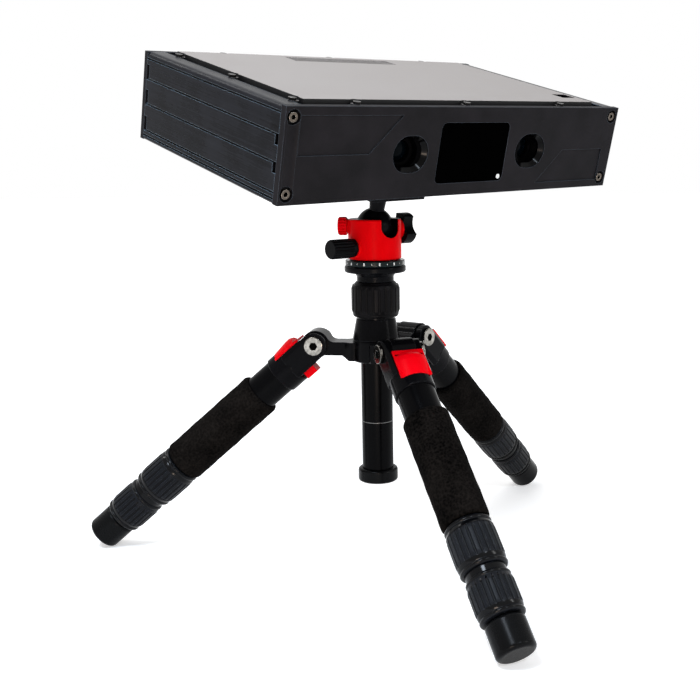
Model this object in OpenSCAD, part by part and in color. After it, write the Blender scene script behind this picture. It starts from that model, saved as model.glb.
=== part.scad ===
// Structured-light scanner on a tabletop tripod with a ball head.
// Millimetres, Z up, floor at zero, scanner looking toward -Y.

/* [Pose] */

// Turn of the leg set under the scanner, degrees
leg_yaw = 13; // [0:1:119]
// Leg splay from the vertical, degrees
splay = 48.6; // [44:0.1:52]
// Forward tilt of the scanner, degrees
scan_pitch = 14.5; // [-20:0.5:25]
// Sideways tilt of the scanner, degrees
scan_roll = -1.1; // [-10:0.1:10]

/* [Leg] */

// Distance of the leg pivots from the column axis
pivot_r = 45.5; // [44:0.5:60]
// Diameter of the upper leg tube
tube_d = 28; // [25:0.5:30]
// Wall of the leg tubes
tube_wall = 1.5; // [1:0.1:2]
// Length of the middle leg tube
middle_len = 167; // [120:1:170]
// Length of the lower leg tube
lower_len = 173; // [120:1:175]
// Diameter of the foam grip
foam_d = 34; // [30:0.5:40]
// Distance from the pivot to the foam grip
foam_start = 60; // [52:1:75]
// Length of the foam grip
foam_len = 86; // [60:1:110]
// Diameter of the upper twist lock
upper_lock_d = 33.6; // [33:0.2:38]
// Length of the upper twist lock
upper_lock_len = 34; // [30:1:42]
// Diameter of the lower twist lock
lower_lock_d = 31.6; // [30:0.2:34]
// Length of the lower twist lock
lower_lock_len = 33; // [31:1:40]
// Ribs around a twist lock
lock_ribs = 24; // [18:1:26]
// Depth of a rib groove
rib_depth = 0.8; // [0.4:0.1:1]
// Diameter of the rubber foot
foot_d = 27; // [25:0.5:32]
// Length of the rubber foot
foot_len = 23; // [20:1:35]
// Rounding of the rubber foot
foot_round = 3; // [1:0.5:5]

/* [Leg casting] */

// Diameter of the round shoulder over the tube
cast_d = 30.4; // [30.4:0.2:34]
// Width of the casting over its cheeks
cast_w = 30; // [29:0.5:33]
// Depth of the flat part of the casting
cast_h = 21; // [20.6:0.2:23]
// Distance from the pivot to the round shoulder
shoulder_s = 24; // [23.5:0.5:27]
// Depth of the tube in the casting
tube_seat = 6.5; // [5:0.5:8]
// Radius of a cheek around the pivot
cheek_r = 9.4; // [8.8:0.1:10]
// Diameter of the pivot axle
axle_d = 8; // [6:0.5:10]
// Diameter of the bright bolt head
bolt_head_d = 14; // [12:0.5:16]
// Height of the bright bolt head
bolt_head_h = 2.4; // [1.8:0.1:4]

/* [Angle latch] */

// Length of the latch along the leg
latch_len = 23.3; // [22:0.1:25]
// Width of the latch
latch_w = 23.6; // [20:0.2:25]
// Radius of the latch crown around the leg
latch_r = 16.9; // [16:0.1:18]
// Width of the latch bar
latch_bar_w = 13; // [9:0.5:15]
// Thickness of the latch bar along the leg
latch_bar_t = 9.5; // [6:0.5:10]
// Travel of the latch
latch_travel = 4.5; // [3:0.5:5]

/* [Spider] */

// Diameter of the hub
hub_d = 36; // [34:0.5:40]
// Hub depth below the pivots
hub_drop = 13; // [11:0.5:20]
// Hub rise above the pivots
hub_rise = 4; // [3:0.5:8]
// Height of the tapered sleeve
sleeve_h = 15.5; // [12:0.5:20]
// Diameter at the top of the tapered sleeve
sleeve_top_d = 30; // [29.5:0.5:34]
// Radius of the knuckle at the end of an arm
knuckle_r = 10.6; // [10:0.1:11]
// Width of an arm in the fork of the leg casting
tongue_w = 18; // [15:0.5:19]
// Arm height below the pivot
arm_drop = 8.2; // [7:0.1:9]
// Arm height above the pivot
arm_rise = 2; // [1.5:0.1:3]

/* [Column] */

// Diameter of the column
column_d = 24; // [22:0.2:24.6]
// Wall of the column
column_wall = 2; // [1.5:0.1:3]
// Length of the upper column
column_upper_len = 107.6; // [80:0.2:130]
// Length of the lower column below the bright ring
column_lower_len = 44; // [35:0.5:60]
// Height of the bright ring between the column sections
column_ring_h = 0.8; // [0.5:0.1:2]
// Diameter of the column end flange
flange_d = 30.5; // [28:0.5:36]
// Height of the column end flange
flange_h = 10.4; // [8:0.2:16]
// Diameter of the column collar
collar_d = 36.8; // [34.5:0.2:42]
// Height of the ribbed part of the column collar
collar_h = 24.5; // [20:0.5:32]
// Height of the tapered top of the column collar
collar_cone_h = 2; // [1:0.5:5]
// Height of the column head
column_head_h = 6.8; // [5:0.2:12]

/* [Ball head] */

// Diameter of the base disc
base_d = 46.4; // [42:0.2:54]
// Height of the base disc
base_h = 5.3; // [4:0.1:9]
// Diameter of the scale ring
scale_d = 45; // [41:0.5:52]
// Height of the scale ring
scale_h = 4.2; // [3:0.1:7]
// Diameter of the housing
housing_d = 40; // [38:0.5:44]
// Height of the housing
housing_h = 30.4; // [29:0.1:36]
// Diameter of the ball
ball_d = 28; // [25:0.5:29]
// Depth of the ball centre below the housing rim
ball_depth = 5.7; // [5:0.1:7]
// Diameter of the neck at the ball
neck_d = 11; // [9:0.5:12]
// Width of the drop notch
notch_w = 16.5; // [14:0.5:18]
// Height of the clamp underside over the ball centre
clamp_gap = 26; // [24:0.5:32]
// Diameter of the neck under the clamp
neck_top_d = 13.5; // [11:0.5:16]
// Radius over the lobes of the ball-lock knob
lobe_r = 12; // [10:0.5:15]
// Length of the ball-lock knob
lock_knob_len = 9; // [7:0.5:14]
// Drop of the ball-lock knob below the ball centre
lock_knob_drop = 3; // [2.8:0.1:4]
// Diameter of the pan-lock knob
pan_knob_d = 14.5; // [11:0.5:15]
// Length of the pan-lock knob
pan_knob_len = 21.5; // [12:0.5:26]
// Drop of the pan-lock knob below the ball centre
pan_knob_drop = 15.4; // [14.8:0.1:15.8]
// Diameter of the friction knob
friction_knob_d = 14; // [10:0.5:15]
// Length of the friction knob
friction_knob_len = 6.7; // [4:0.1:10]
// Drop of the friction knob below the ball centre
friction_knob_drop = 0; // [0:0.1:3]

/* [Clamp] */

// Length of the clamp
clamp_len = 50; // [44:1:70]
// Depth of the clamp
clamp_w = 46; // [44:0.5:56]
// Height of the clamp body
clamp_h = 12; // [12:0.5:16]
// Length of the movable jaw
jaw_len = 40; // [30:1:44]
// Travel of the movable jaw
jaw_travel = 5; // [3:0.5:8]
// Diameter of the clamp knob
clamp_knob_d = 16; // [12:0.5:19]
// Length of the clamp knob
clamp_knob_len = 15; // [10:0.5:22]
// Length of the release plate
plate_len = 52; // [44:1:70]
// Width of the dovetail foot of the release plate
dovetail_w = 38; // [36:0.5:38]
// Width of the release plate top
plate_w = 42; // [38:0.5:60]
// Height of the release plate top
plate_h = 5; // [4.6:0.1:8]

/* [Scanner case] */

// Case width
case_w = 300; // [270:1:360]
// Case depth
case_d = 172; // [160:1:220]
// Case height
case_h = 60; // [56:1:80]
// Front panel thickness
front_t = 5; // [4.5:0.1:8]
// Rear panel thickness
rear_t = 4; // [4:0.1:6]
// Wall of the side extrusions
side_wall = 4; // [3:0.1:5]
// Width of the top flange of the side extrusions
side_flange = 13; // [12:0.5:18]
// Rounding of the upper side edges
side_round = 3.5; // [1.5:0.1:5]
// Width of the ledges under the cover
ledge_w = 13; // [11:0.5:20]
// Thickness of the ledges
ledge_t = 4; // [3:0.1:5]
// Bottom plate thickness
bottom_t = 3; // [3:0.1:4]
// Diameter of a panel screw head
panel_head_d = 6; // [5:0.1:7]
// Distance of the panel screws from the case sides
panel_screw_x = 6; // [6:0.1:6.6]
// Distance of the panel screws from the case top and bottom
panel_screw_z = 6.7; // [6.5:0.1:8]
// Width of a side groove
groove_w = 1.2; // [0.6:0.1:2]
// Depth of a side groove
groove_deep = 1; // [0.4:0.1:1.4]
// Height of an end notch in the side extrusions
notch_h = 9.6; // [5:0.1:11]
// Length of an end notch from front to rear
notch_len = 3.6; // [2:0.1:6]
// Width of the hollow between the front panel screws
hollow_w = 8.6; // [6:0.1:9.4]
// Depth of the hollow between the front panel screws
hollow_deep = 1.5; // [0.5:0.1:2]

/* [Top cover] */

// Cover thickness
cover_t = 3.5; // [3:0.1:5]
// Depth of the cover seat under the case top
cover_seat = 1.5; // [1:0.1:2.5]
// Width of the channel around the cover
channel_w = 6; // [6:0.1:8]
// Vent slots in the row
vent_count = 35; // [5:2:45]
// Distance between vent slots
vent_pitch = 2.7; // [2:0.1:3]
// Width of a vent slot
vent_w = 1.4; // [0.8:0.1:1.5]
// Length of a vent slot
vent_len = 15; // [8:0.5:25]
// Distance of the vent slots from the rear face
vent_inset = 16; // [13:0.5:30]
// Width of the status recess
status_w = 14; // [8:0.5:18]
// Depth of the status recess from front to rear
status_d = 12; // [8:0.5:20]
// Diameter of a cover screw head
screw_head_d = 5; // [4:0.1:5.4]
// Distance between the cover screws along the width
screw_pitch_x = 93; // [80:1:110]
// Distance between the cover screws along the depth
screw_pitch_y = 68; // [55:1:72]
// Distance of the status recess from the cover side
status_inset = 3; // [2:0.5:20]
// Distance of the status recess from the cover front
status_front = 14; // [5:0.5:60]

/* [Front optics] */

// Sideways place of the projector window
optics_x = 5.3; // [-15:0.1:15]
// Height of the optics over the case bottom
optics_z = 29; // [28:0.1:32]
// Distance from the projector window to a camera port
port_x = 55.5; // [54:0.1:75]
// Width of a camera port
port_w = 29.5; // [26:0.1:32]
// Height of a camera port
port_h = 24.4; // [22:0.1:26]
// Width of the projector window
window_w = 63; // [50:0.5:66]
// Height of the projector window
window_h = 41; // [36:0.5:42]
// Corner rounding of the projector window
window_r = 4; // [2:0.5:8]
// Thickness of the projector window
window_t = 2; // [1.5:0.1:2.5]
// Depth of the shallow fields in the front panel
field_deep = 0.8; // [0.4:0.1:1.2]
// Distance of the shallow fields from the case sides
field_side = 11; // [10.5:0.1:20]
// Distance of the shallow fields from the case top and bottom
field_edge = 5.5; // [4:0.1:8]
// Distance from the projector window to a shallow field
field_x = 90; // [86:0.5:105]
// Turn of each camera toward the middle, degrees
toe_in = 8; // [0:0.5:10]

/* [Inside] */

// Width of the projector body
projector_w = 60; // [50:1:62]
// Depth of the projector body
projector_d = 78; // [50:1:90]
// Height of the projector body
projector_h = 42; // [36:0.5:42]
// Width of a camera body
camera_w = 30; // [24:0.5:32]
// Depth of a camera body
camera_d = 36; // [26:1:44]
// Diameter of a camera lens barrel
barrel_d = 20; // [16:0.5:21]
// Width of the main board
board_w = 90; // [70:1:100]
// Depth of the main board
board_d = 58; // [40:1:62]
// Diameter of the power inlet sleeve
inlet_d = 8; // [7:0.1:9]
// Diameter of the power inlet bore
inlet_bore = 5.5; // [5:0.1:6]
// Distance of the power inlet from the middle
inlet_x = 100; // [85:1:110]

/* [Fits] */

// Radial gap between pieces that move on each other
slide_gap = 0.3; // [0.3:0.05:0.4]
// Radial gap between pieces that are fixed together
seat_gap = 0.02; // [0.01:0.01:0.05]

/* [Hidden] */

eps = 0.01;
leg_turns = [0, 120, 240];

// Leg stations measured from the pivot along the leg
joint_gap = 0.6;
upper_lock_s = foam_start + foam_len + 1;
lower_lock_s = upper_lock_s + upper_lock_len + joint_gap;
foot_s = lower_lock_s + lower_lock_len + joint_gap;
leg_len = foot_s + foot_len;
lock_mouth = 5;
upper_tube_end = upper_lock_s + upper_lock_len - lock_mouth;
middle_d = tube_d - 2 * tube_wall - 2 * slide_gap;
lower_d = middle_d - 2 * tube_wall - 2 * slide_gap;
middle_end = lower_lock_s + lower_lock_len - lock_mouth / 2;
lower_end = foot_s + foot_len - 10;
lip_h = 4;
lower_collar_d = tube_d - 0.5;
lower_collar_h = 4;

// Casting and latch measures from the pivot along the leg
fork_gap = tongue_w / 2 + slide_gap;
fork_floor = knuckle_r + 0.7;
fork_cut = 30;
cast_round_d = cast_w + 3.2;
bolt_in = cast_w / 2 + slide_gap;
bolt_socket_d = 6.5;
bolt_socket_h = 1.4;
latch_s = 7.6;
latch_tail = latch_s + latch_len;
latch_in = cast_h / 2 + slide_gap;
latch_plate_t = 1.6;
latch_step_s = latch_s + 4.6;
latch_tail_r = latch_r - 1.5;
latch_bar_s = fork_floor + 1.8;
latch_end = cast_h / 2 + latch_travel + 1;
pocket_s = latch_tail + 0.4;
upper_tube_s = pocket_s + 1.2;
cast_end = upper_tube_s + tube_seat;

// Heights above the floor
pivot_z = (leg_len - foot_round) * cos(splay) + (foot_d / 2 - foot_round) * sin(splay) + foot_round;
sleeve_z = pivot_z + hub_rise;
spigot_z = sleeve_z + sleeve_h;
collar_gap = 1.6;
collar_z = spigot_z + collar_gap;
collar_top = collar_z + collar_h + collar_cone_h;
head_z = collar_top + 0.5;
base_z = head_z + column_head_h;
scale_z = base_z + base_h;
housing_z = scale_z + scale_h + slide_gap;
rim_z = housing_z + housing_h;
ball_z = rim_z - ball_depth;
column_joint_z = head_z - column_upper_len;
column_bottom = column_joint_z - column_ring_h - column_lower_len;
flange_floor = 3;
flange_z = column_bottom - flange_floor;

// Column and spider fits
column_bore = column_d + 2 * slide_gap;
spigot_d = column_bore + 3.4;
spigot_h = 14;
axle_bore = axle_d + 2 * slide_gap;
arm_root = 15;
arm_tip = pivot_r + knuckle_r + 1;
arm_flare = 3;
flare_len = 5;
fillet_r = 6;
fillet_x = sqrt(pow(knuckle_r + fillet_r, 2) - pow(arm_rise + fillet_r, 2));
head_neck_d = column_d + 4;

// Ball head fits
cavity_r = ball_d / 2 + slide_gap;
spindle_d = 16;
spindle_h = 4;
neck_z = ball_d / 2 - 3;
neck_h = clamp_gap - slide_gap - neck_z;
stem_pin_d = 8;
stem_pin_h = 5;
knob_shaft_d = 6;
small_shaft_d = 5;
boss_root = 15;
lock_boss_d = 16;
pan_boss_d = 14;
friction_boss_d = 11;
lock_boss_r = housing_d / 2 + 2.7;
pan_boss_r = housing_d / 2 + 0.1;
friction_boss_r = housing_d / 2 + 0.3;
friction_turn = 135;
lobe_turn = 15;

// Clamp stack above the ball centre, along the stem
clamp_floor = clamp_gap + clamp_h;
dovetail_h = 3.5;
dovetail_lip = 0.2;
lip_rise = 5.3;
lip_top = clamp_floor + lip_rise;
plate_z = lip_top + 0.3;
deck_z = plate_z + plate_h;
jaw_y = 12;
jaw_gap = 0.45;
clamp_screw_d = 6;
guide_d = 5;
guide_x = 13;
guide_in = jaw_y - jaw_travel - 2;
clamp_screw_z = clamp_gap + clamp_h / 2;
plate_bolt_d = 6.2;
plate_bolt_head_d = 14;
plate_bolt_head_h = 3;

// Case measures, from the middle of the case bottom
side_x = case_w / 2;
front_y = -case_d / 2;
rear_y = case_d / 2;
wall_front = front_y + front_t;
wall_rear = rear_y - rear_t;
ledge_top = case_h - cover_seat;
ledge_low = ledge_top - ledge_t;
flange_x = side_x - side_flange;
ledge_x = flange_x - ledge_w;
cover_x = flange_x - channel_w;
cover_front = wall_front + channel_w;
cover_rear = wall_rear - channel_w;
panel_ledge = channel_w + 5;
vent_x = -(vent_count - 1) / 2 * vent_pitch - vent_w / 2;
screw_d = 2.8;
screw_head_h = 1.8;
screw_len = 6;
tab_t = 1.2;
tab_d = channel_w - 0.5;
screw_x = flange_x - channel_w / 2;
screw_front = wall_front + channel_w / 2;
screw_rear = wall_rear - channel_w / 2;
screw_points = [
  for (i = [-1:1]) [i * screw_pitch_x, screw_front, 90],
  for (i = [-1:1]) [i * screw_pitch_x, screw_rear, -90],
  for (i = [-1:1]) [-screw_x, i * screw_pitch_y, 0],
  for (i = [-1:1]) [screw_x, i * screw_pitch_y, 180]
];
panel_points = [
  for (x = [-1, 1]) for (z = [panel_screw_z, case_h - panel_screw_z]) [x * (side_x - panel_screw_x), z]
];
panel_screw_d = 3.6;
panel_head_h = 3;
panel_socket_d = 3.4;
panel_screw_len = 10;
panel_bore_d = panel_head_d + 3.8;
hollow_r = (hollow_w * hollow_w / 4 + hollow_deep * hollow_deep) / (2 * hollow_deep);
boss_r = 5;
groove_marks = [0.117, 0.417, 0.7, 0.925, 0.055] * case_h;
front_notch_h = 2 / 3 * notch_h;
notch_deep = 2.4;

// Optics measures
window_lip = 2;
glass_y = front_y + 0.5;
glass_back = glass_y + window_t;
projector_front = front_y + 24;
projector_low = optics_z - projector_h / 2;
projector_barrel_d = 32;
projector_lens_d = 26;
camera_front = front_y + 26;
camera_h = 32;
barrel_len = 17;
lens_d = barrel_d - 3;
lens_t = 2;
post_d = 7;
board_z = bottom_t + 7;
board_t = 1.6;
board_x = 85;
board_post_x = board_w / 2 - 10;
board_rear = wall_rear - 4;
inlet_z = board_z + board_t + inlet_d / 2 + 0.6;
inlet_len = 17;
inlet_body = inlet_d + 1;
inlet_depth = 10;
socket_w = 12;
socket_h = 11;
socket_x = inlet_x - 22;
nut_d = 18;
nut_h = 3;
plate_bolt_reach = bottom_t + nut_h - 0.5;

// Outer box of the feet and the case in plan
foot_reach = pivot_r + (leg_len - foot_round) * sin(splay);
foot_x = [for (t = leg_turns) foot_reach * cos(leg_yaw + t)];
foot_y = [for (t = leg_turns) foot_reach * sin(leg_yaw + t)];
foot_rx = [for (t = leg_turns) edge_reach(sin(splay) * cos(leg_yaw + t))];
foot_ry = [for (t = leg_turns) edge_reach(sin(splay) * sin(leg_yaw + t))];
corners = [
  for (x = [-side_x, side_x]) for (y = [front_y, rear_y]) for (z = [deck_z, deck_z + case_h]) tilted(x, y, z)
];
x_low = min(min([for (i = [0:2]) foot_x[i] - foot_rx[i]]), min([for (c = corners) c[0]]));
x_high = max(max([for (i = [0:2]) foot_x[i] + foot_rx[i]]), max([for (c = corners) c[0]]));
y_low = min(min([for (i = [0:2]) foot_y[i] - foot_ry[i]]), min([for (c = corners) c[1]]));
y_high = max(max([for (i = [0:2]) foot_y[i] + foot_ry[i]]), max([for (c = corners) c[1]]));
plan_x = (x_low + x_high) / 2;
plan_y = (y_low + y_high) / 2;

// Reach of the rounded foot edge along one plan direction
function edge_reach(a) = (foot_d / 2 - foot_round) * sqrt(1 - a * a) + foot_round;

// Plan place of a point on the tilted scanner
function tilted(x, y, z) = [
  x * cos(scan_roll) + (y * sin(scan_pitch) + z * cos(scan_pitch)) * sin(scan_roll),
  y * cos(scan_pitch) - z * sin(scan_pitch)
];

module placed() translate([-plan_x, -plan_y, 0]) children();

module arm_at(i) placed() rotate([0, 0, leg_yaw + 120 * (i - 1)]) translate([0, 0, pivot_z]) children();

module leg_at(i) arm_at(i) translate([pivot_r, 0, 0]) rotate([0, 180 - splay, 0]) children();

module stem_at() placed() translate([0, 0, ball_z]) rotate([scan_pitch, scan_roll, 0]) children();

module case_at() stem_at() translate([0, 0, deck_z]) children();

module knob_at(turn, drop) placed() translate([0, 0, ball_z - drop]) rotate([0, 0, turn]) {
  rotate([0, 90, 0]) children();
}

// Ring section with rounded outer edges
module rim_section(ri, ro, z0, z1, e) {
  translate([ri, z0]) square([ro - ri - e, z1 - z0]);
  translate([ri, z0 + e]) square([ro - ri, z1 - z0 - 2 * e]);
  for (z = [z0 + e, z1 - e]) translate([ro - e, z]) circle(e, $fn = 48);
}

module rim(ri, ro, z0, z1, e) rotate_extrude($fn = 96) rim_section(ri, ro, z0, z1, e);

// Ribbed barrel with tapered ends
module ribbed(d, z0, z1, n, drop, taper) intersection() {
  translate([0, 0, z0 - 1]) linear_extrude(z1 - z0 + 2) difference() {
    circle(d = d, $fn = 96);
    for (i = [0:n - 1]) rotate(i * 360 / n) translate([d / 2 + 0.35, 0]) circle(0.35 + rib_depth, $fn = 24);
  }
  rotate_extrude($fn = 96) polygon([
    [0, z0], [d / 2 - drop, z0], [d / 2 + 0.05, z0 + taper],
    [d / 2 + 0.05, z1 - taper], [d / 2 - drop, z1], [0, z1]
  ]);
}

module tube(d, wall, z0, z1) difference() {
  translate([0, 0, z0]) cylinder(d = d, h = z1 - z0, $fn = 96);
  translate([0, 0, z0 - 1]) cylinder(d = d - 2 * wall, h = z1 - z0 + 2, $fn = 96);
}

module bore(d, z0, z1) translate([0, 0, z0]) cylinder(d = d, h = z1 - z0, $fn = 64);

// Flat rounded outline, standing on the front face
module rounded_rect(w, h, r) {
  square([w - 2 * r, h], center = true);
  square([w, h - 2 * r], center = true);
  for (x = [-1, 1]) for (y = [-1, 1]) translate([x * (w / 2 - r), y * (h / 2 - r)]) circle(r, $fn = 48);
}

// Upright outline pushed from y0 to y1
module upright(y0, y1) translate([0, y1, 0]) rotate([90, 0, 0]) linear_extrude(y1 - y0) children();

// Side outline of an arm, from the hub to its round knuckle
module arm_section() {
  translate([pivot_r, 0]) circle(knuckle_r, $fn = 96);
  difference() {
    polygon([
      [arm_root, -hub_drop + 1], [hub_d / 2 + 2, -hub_drop + 1], [hub_d / 2 + 2 + flare_len, -arm_drop],
      [pivot_r, -arm_drop], [pivot_r, 0], [pivot_r - fillet_x, arm_rise + fillet_r],
      [pivot_r - fillet_x, arm_rise], [arm_root, arm_rise]
    ]);
    translate([pivot_r - fillet_x, arm_rise + fillet_r]) circle(fillet_r, $fn = 96);
  }
}

// Plan outline of an arm, wider at the hub
module arm_plan() for (s = [0, 1]) mirror([0, s]) polygon([
  [arm_root, -1], [arm_root, tongue_w / 2 + arm_flare], [hub_d / 2, tongue_w / 2 + arm_flare],
  [hub_d / 2 + flare_len, tongue_w / 2], [arm_tip, tongue_w / 2], [arm_tip, -1]
]);

module arm() difference() {
  intersection() {
    upright(-hub_d / 2, hub_d / 2) arm_section();
    translate([0, 0, -hub_d]) linear_extrude(2 * hub_d) arm_plan();
  }
  translate([pivot_r, 0, 0]) rotate([90, 0, 0]) bore(axle_d + 2 * seat_gap, -tongue_w, tongue_w);
}

module spider() color("#15161a") difference() {
  union() {
    placed() translate([0, 0, pivot_z]) {
      rim(0, hub_d / 2, -hub_drop, hub_rise, 1.5);
      translate([0, 0, hub_rise]) cylinder(d1 = hub_d, d2 = sleeve_top_d, h = sleeve_h, $fn = 96);
      bore(spigot_d, hub_rise, hub_rise + sleeve_h + spigot_h);
    }
    for (i = [1:3]) arm_at(i) arm();
  }
  placed() bore(column_bore, pivot_z - hub_drop - 1, pivot_z + hub_rise + sleeve_h + spigot_h + 1);
}

module pivot_bolt() difference() {
  union() {
    bore(axle_d, -bolt_in - 1, bolt_in + 1);
    rim(0, bolt_head_d / 2, bolt_in, bolt_in + bolt_head_h, 0.6);
    rim(0, bolt_head_d / 2, -bolt_in - bolt_head_h, -bolt_in, 0.6);
  }
  for (s = [-1, 1]) translate([0, 0, s * (bolt_in + bolt_head_h)]) {
    cylinder(d = bolt_socket_d, h = 2 * bolt_socket_h, center = true, $fn = 6);
  }
}

module pivot_bolts() color("#b9bcc2") for (i = [1:3]) arm_at(i) {
  translate([pivot_r, 0, 0]) rotate([90, 0, 0]) pivot_bolt();
}

// Side outline of the casting, from its round cheeks to the shoulder
module cheek_section() {
  circle(cheek_r, $fn = 96);
  polygon([
    [-cheek_r, 0], [cheek_r, 0], [cast_h / 2, fork_floor - 2], [cast_h / 2, shoulder_s + 2],
    [-cast_h / 2, shoulder_s + 2], [-cast_h / 2, fork_floor - 2]
  ]);
}

module leg_casting(i) color("#15161a") leg_at(i) difference() {
  union() {
    intersection() {
      upright(-cast_w / 2, cast_w / 2) cheek_section();
      bore(cast_round_d, -fork_cut, cast_end);
    }
    rim(0, cast_d / 2, shoulder_s, cast_end, 1);
  }
  translate([-fork_cut, -fork_gap, -fork_cut]) cube([2 * fork_cut, 2 * fork_gap, fork_cut + fork_floor]);
  rotate([90, 0, 0]) bore(axle_bore, -cast_w, cast_w);
  bore(tube_d + 2 * seat_gap, upper_tube_s, cast_end + 1);
  translate([-fork_cut, -latch_bar_w / 2 - slide_gap, latch_bar_s - slide_gap]) {
    cube([2 * fork_cut, latch_bar_w + 2 * slide_gap, latch_bar_t + 2 * slide_gap]);
  }
  translate([-fork_cut, -fork_cut, -fork_cut]) {
    cube([fork_cut - cast_h / 2, 2 * fork_cut, fork_cut + pocket_s]);
  }
}

module upper_tube(i) color("#1b1d22") leg_at(i) tube(tube_d, tube_wall, upper_tube_s, upper_tube_end);

module foam_grip(i) color("#1d1b1a") leg_at(i) difference() {
  rim(0, foam_d / 2, foam_start, foam_start + foam_len, 2);
  bore(tube_d + 2 * seat_gap, foam_start - 1, foam_start + foam_len + 1);
}

module upper_lock(i) color("#22262e") leg_at(i) difference() {
  union() {
    rim(0, upper_lock_d / 2 - 1, upper_lock_s, upper_lock_s + lip_h + 1, 1);
    ribbed(upper_lock_d, upper_lock_s + lip_h, upper_lock_s + upper_lock_len - lip_h, lock_ribs, 0.9, 5);
    rim(0, upper_lock_d / 2 - 1, upper_lock_s + upper_lock_len - lip_h - 1, upper_lock_s + upper_lock_len, 1);
  }
  bore(tube_d + 2 * slide_gap, upper_lock_s - 1, upper_tube_end + slide_gap);
  bore(middle_d + 2 * slide_gap, upper_lock_s - 1, upper_lock_s + upper_lock_len + 1);
}

module middle_tube(i) color("#1b1d22") leg_at(i) {
  tube(middle_d, tube_wall, middle_end - middle_len, middle_end);
}

module lower_lock(i) color("#22262e") leg_at(i) difference() {
  union() {
    bore(lower_collar_d, lower_lock_s, lower_lock_s + lower_collar_h + 2);
    rim(0, lower_lock_d / 2 - 1, lower_lock_s + lower_collar_h, lower_lock_s + lower_collar_h + lip_h, 1);
    ribbed(
      lower_lock_d, lower_lock_s + lower_collar_h + lip_h - 1, lower_lock_s + lower_lock_len - lip_h,
      lock_ribs, 0.9, 4
    );
    rim(0, lower_lock_d / 2 - 1, lower_lock_s + lower_lock_len - lip_h - 1, lower_lock_s + lower_lock_len, 1);
  }
  bore(middle_d + 2 * slide_gap, lower_lock_s - 1, middle_end + slide_gap);
  bore(lower_d + 2 * slide_gap, lower_lock_s - 1, lower_lock_s + lower_lock_len + 1);
}

module lower_tube(i) color("#1b1d22") leg_at(i) tube(lower_d, tube_wall, lower_end - lower_len, lower_end);

module foot(i) color("#141414") leg_at(i) difference() {
  rim(0, foot_d / 2, foot_s, leg_len, foot_round);
  bore(lower_d + 2 * seat_gap, foot_s - 1, lower_end);
}

module angle_latch(i) color("#c0141c") leg_at(i) {
  intersection() {
    rotate_extrude($fn = 96) polygon([
      [0, latch_step_s], [latch_r - 1.2, latch_step_s], [latch_r, latch_step_s + 2.5],
      [latch_r, latch_step_s + 6], [latch_tail_r, latch_tail], [0, latch_tail]
    ]);
    translate([-latch_r - 1, -latch_w / 2, latch_s]) cube([latch_r + 1 - latch_in, latch_w, latch_len]);
  }
  translate([-latch_in - latch_plate_t, -latch_w / 2, latch_s]) cube([latch_plate_t, latch_w, latch_len]);
  translate([-latch_in - 1, -latch_bar_w / 2, latch_bar_s]) {
    cube([latch_in + 1 + latch_end, latch_bar_w, latch_bar_t]);
  }
}

module column_collar() color("#22262e") placed() difference() {
  union() {
    rim(0, collar_d / 2 - 1, collar_z, collar_z + 6, 2);
    ribbed(collar_d, collar_z + 2.5, collar_z + collar_h, lock_ribs, 1, 3);
    translate([0, 0, collar_z + collar_h - eps]) {
      cylinder(d1 = collar_d - 4, d2 = spigot_d + 2, h = collar_cone_h + eps, $fn = 96);
    }
  }
  bore(spigot_d + 2 * slide_gap, collar_z - 1, spigot_z + spigot_h + slide_gap);
  bore(column_bore, collar_z - 1, collar_top + 1);
}

module column_head() color("#15161a") placed() {
  bore(column_d - 2 * column_wall - 2 * seat_gap, head_z - 15, head_z + 1);
  bore(head_neck_d, head_z, base_z - 3);
  translate([0, 0, base_z - 3.2]) cylinder(d1 = head_neck_d, d2 = head_neck_d + 4, h = 3.2, $fn = 96);
}

module column_upper() color("#1b1d22") placed() tube(column_d, column_wall, column_joint_z, head_z);

module column_lower() color("#1b1d22") placed() {
  tube(column_d, column_wall, column_bottom, column_joint_z - column_ring_h);
  tube(column_d - 0.8, column_wall + 2, column_joint_z - column_ring_h - 1, column_joint_z);
  tube(column_d - 2 * column_wall - 2 * seat_gap, 2, column_joint_z - 14, column_joint_z + 12);
}

module column_end() color("#141414") placed() difference() {
  rim(0, flange_d / 2, flange_z, flange_z + flange_h, 2);
  bore(column_d + 2 * seat_gap, column_bottom, flange_z + flange_h + 1);
}

module head_base() color("#15161a") placed() {
  rim(0, base_d / 2, base_z, scale_z, 1.6);
  bore(spindle_d, scale_z - 1, housing_z + spindle_h);
}

module scale_ring() color("#0e1214") placed() difference() {
  rim(0, scale_d / 2, scale_z, scale_z + scale_h, 0.6);
  bore(spindle_d + 2 * seat_gap, scale_z - 1, scale_z + scale_h + 1);
}

module ball_housing() color("#c0141c") difference() {
  union() {
    placed() rim(0, housing_d / 2, housing_z, rim_z, 1.5);
    knob_at(0, lock_knob_drop) bore(lock_boss_d, boss_root, lock_boss_r);
    knob_at(180, pan_knob_drop) bore(pan_boss_d, boss_root, pan_boss_r);
    knob_at(friction_turn, friction_knob_drop) bore(friction_boss_d, boss_root, friction_boss_r);
  }
  placed() translate([0, 0, ball_z]) sphere(r = cavity_r, $fn = 96);
  placed() translate([-notch_w / 2, -housing_d, ball_z]) cube([notch_w, housing_d, housing_d]);
  knob_at(-90, 0) bore(notch_w, 0, housing_d);
  placed() bore(spindle_d + 2 * slide_gap, housing_z - 1, housing_z + spindle_h + slide_gap);
  knob_at(0, lock_knob_drop) bore(knob_shaft_d + 2 * slide_gap, 15.5, lock_boss_r + 1);
  knob_at(180, pan_knob_drop) bore(small_shaft_d + 2 * slide_gap, 11, pan_boss_r + 1);
  knob_at(friction_turn, friction_knob_drop) bore(small_shaft_d + 2 * slide_gap, 16, friction_boss_r + 1);
}

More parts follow.
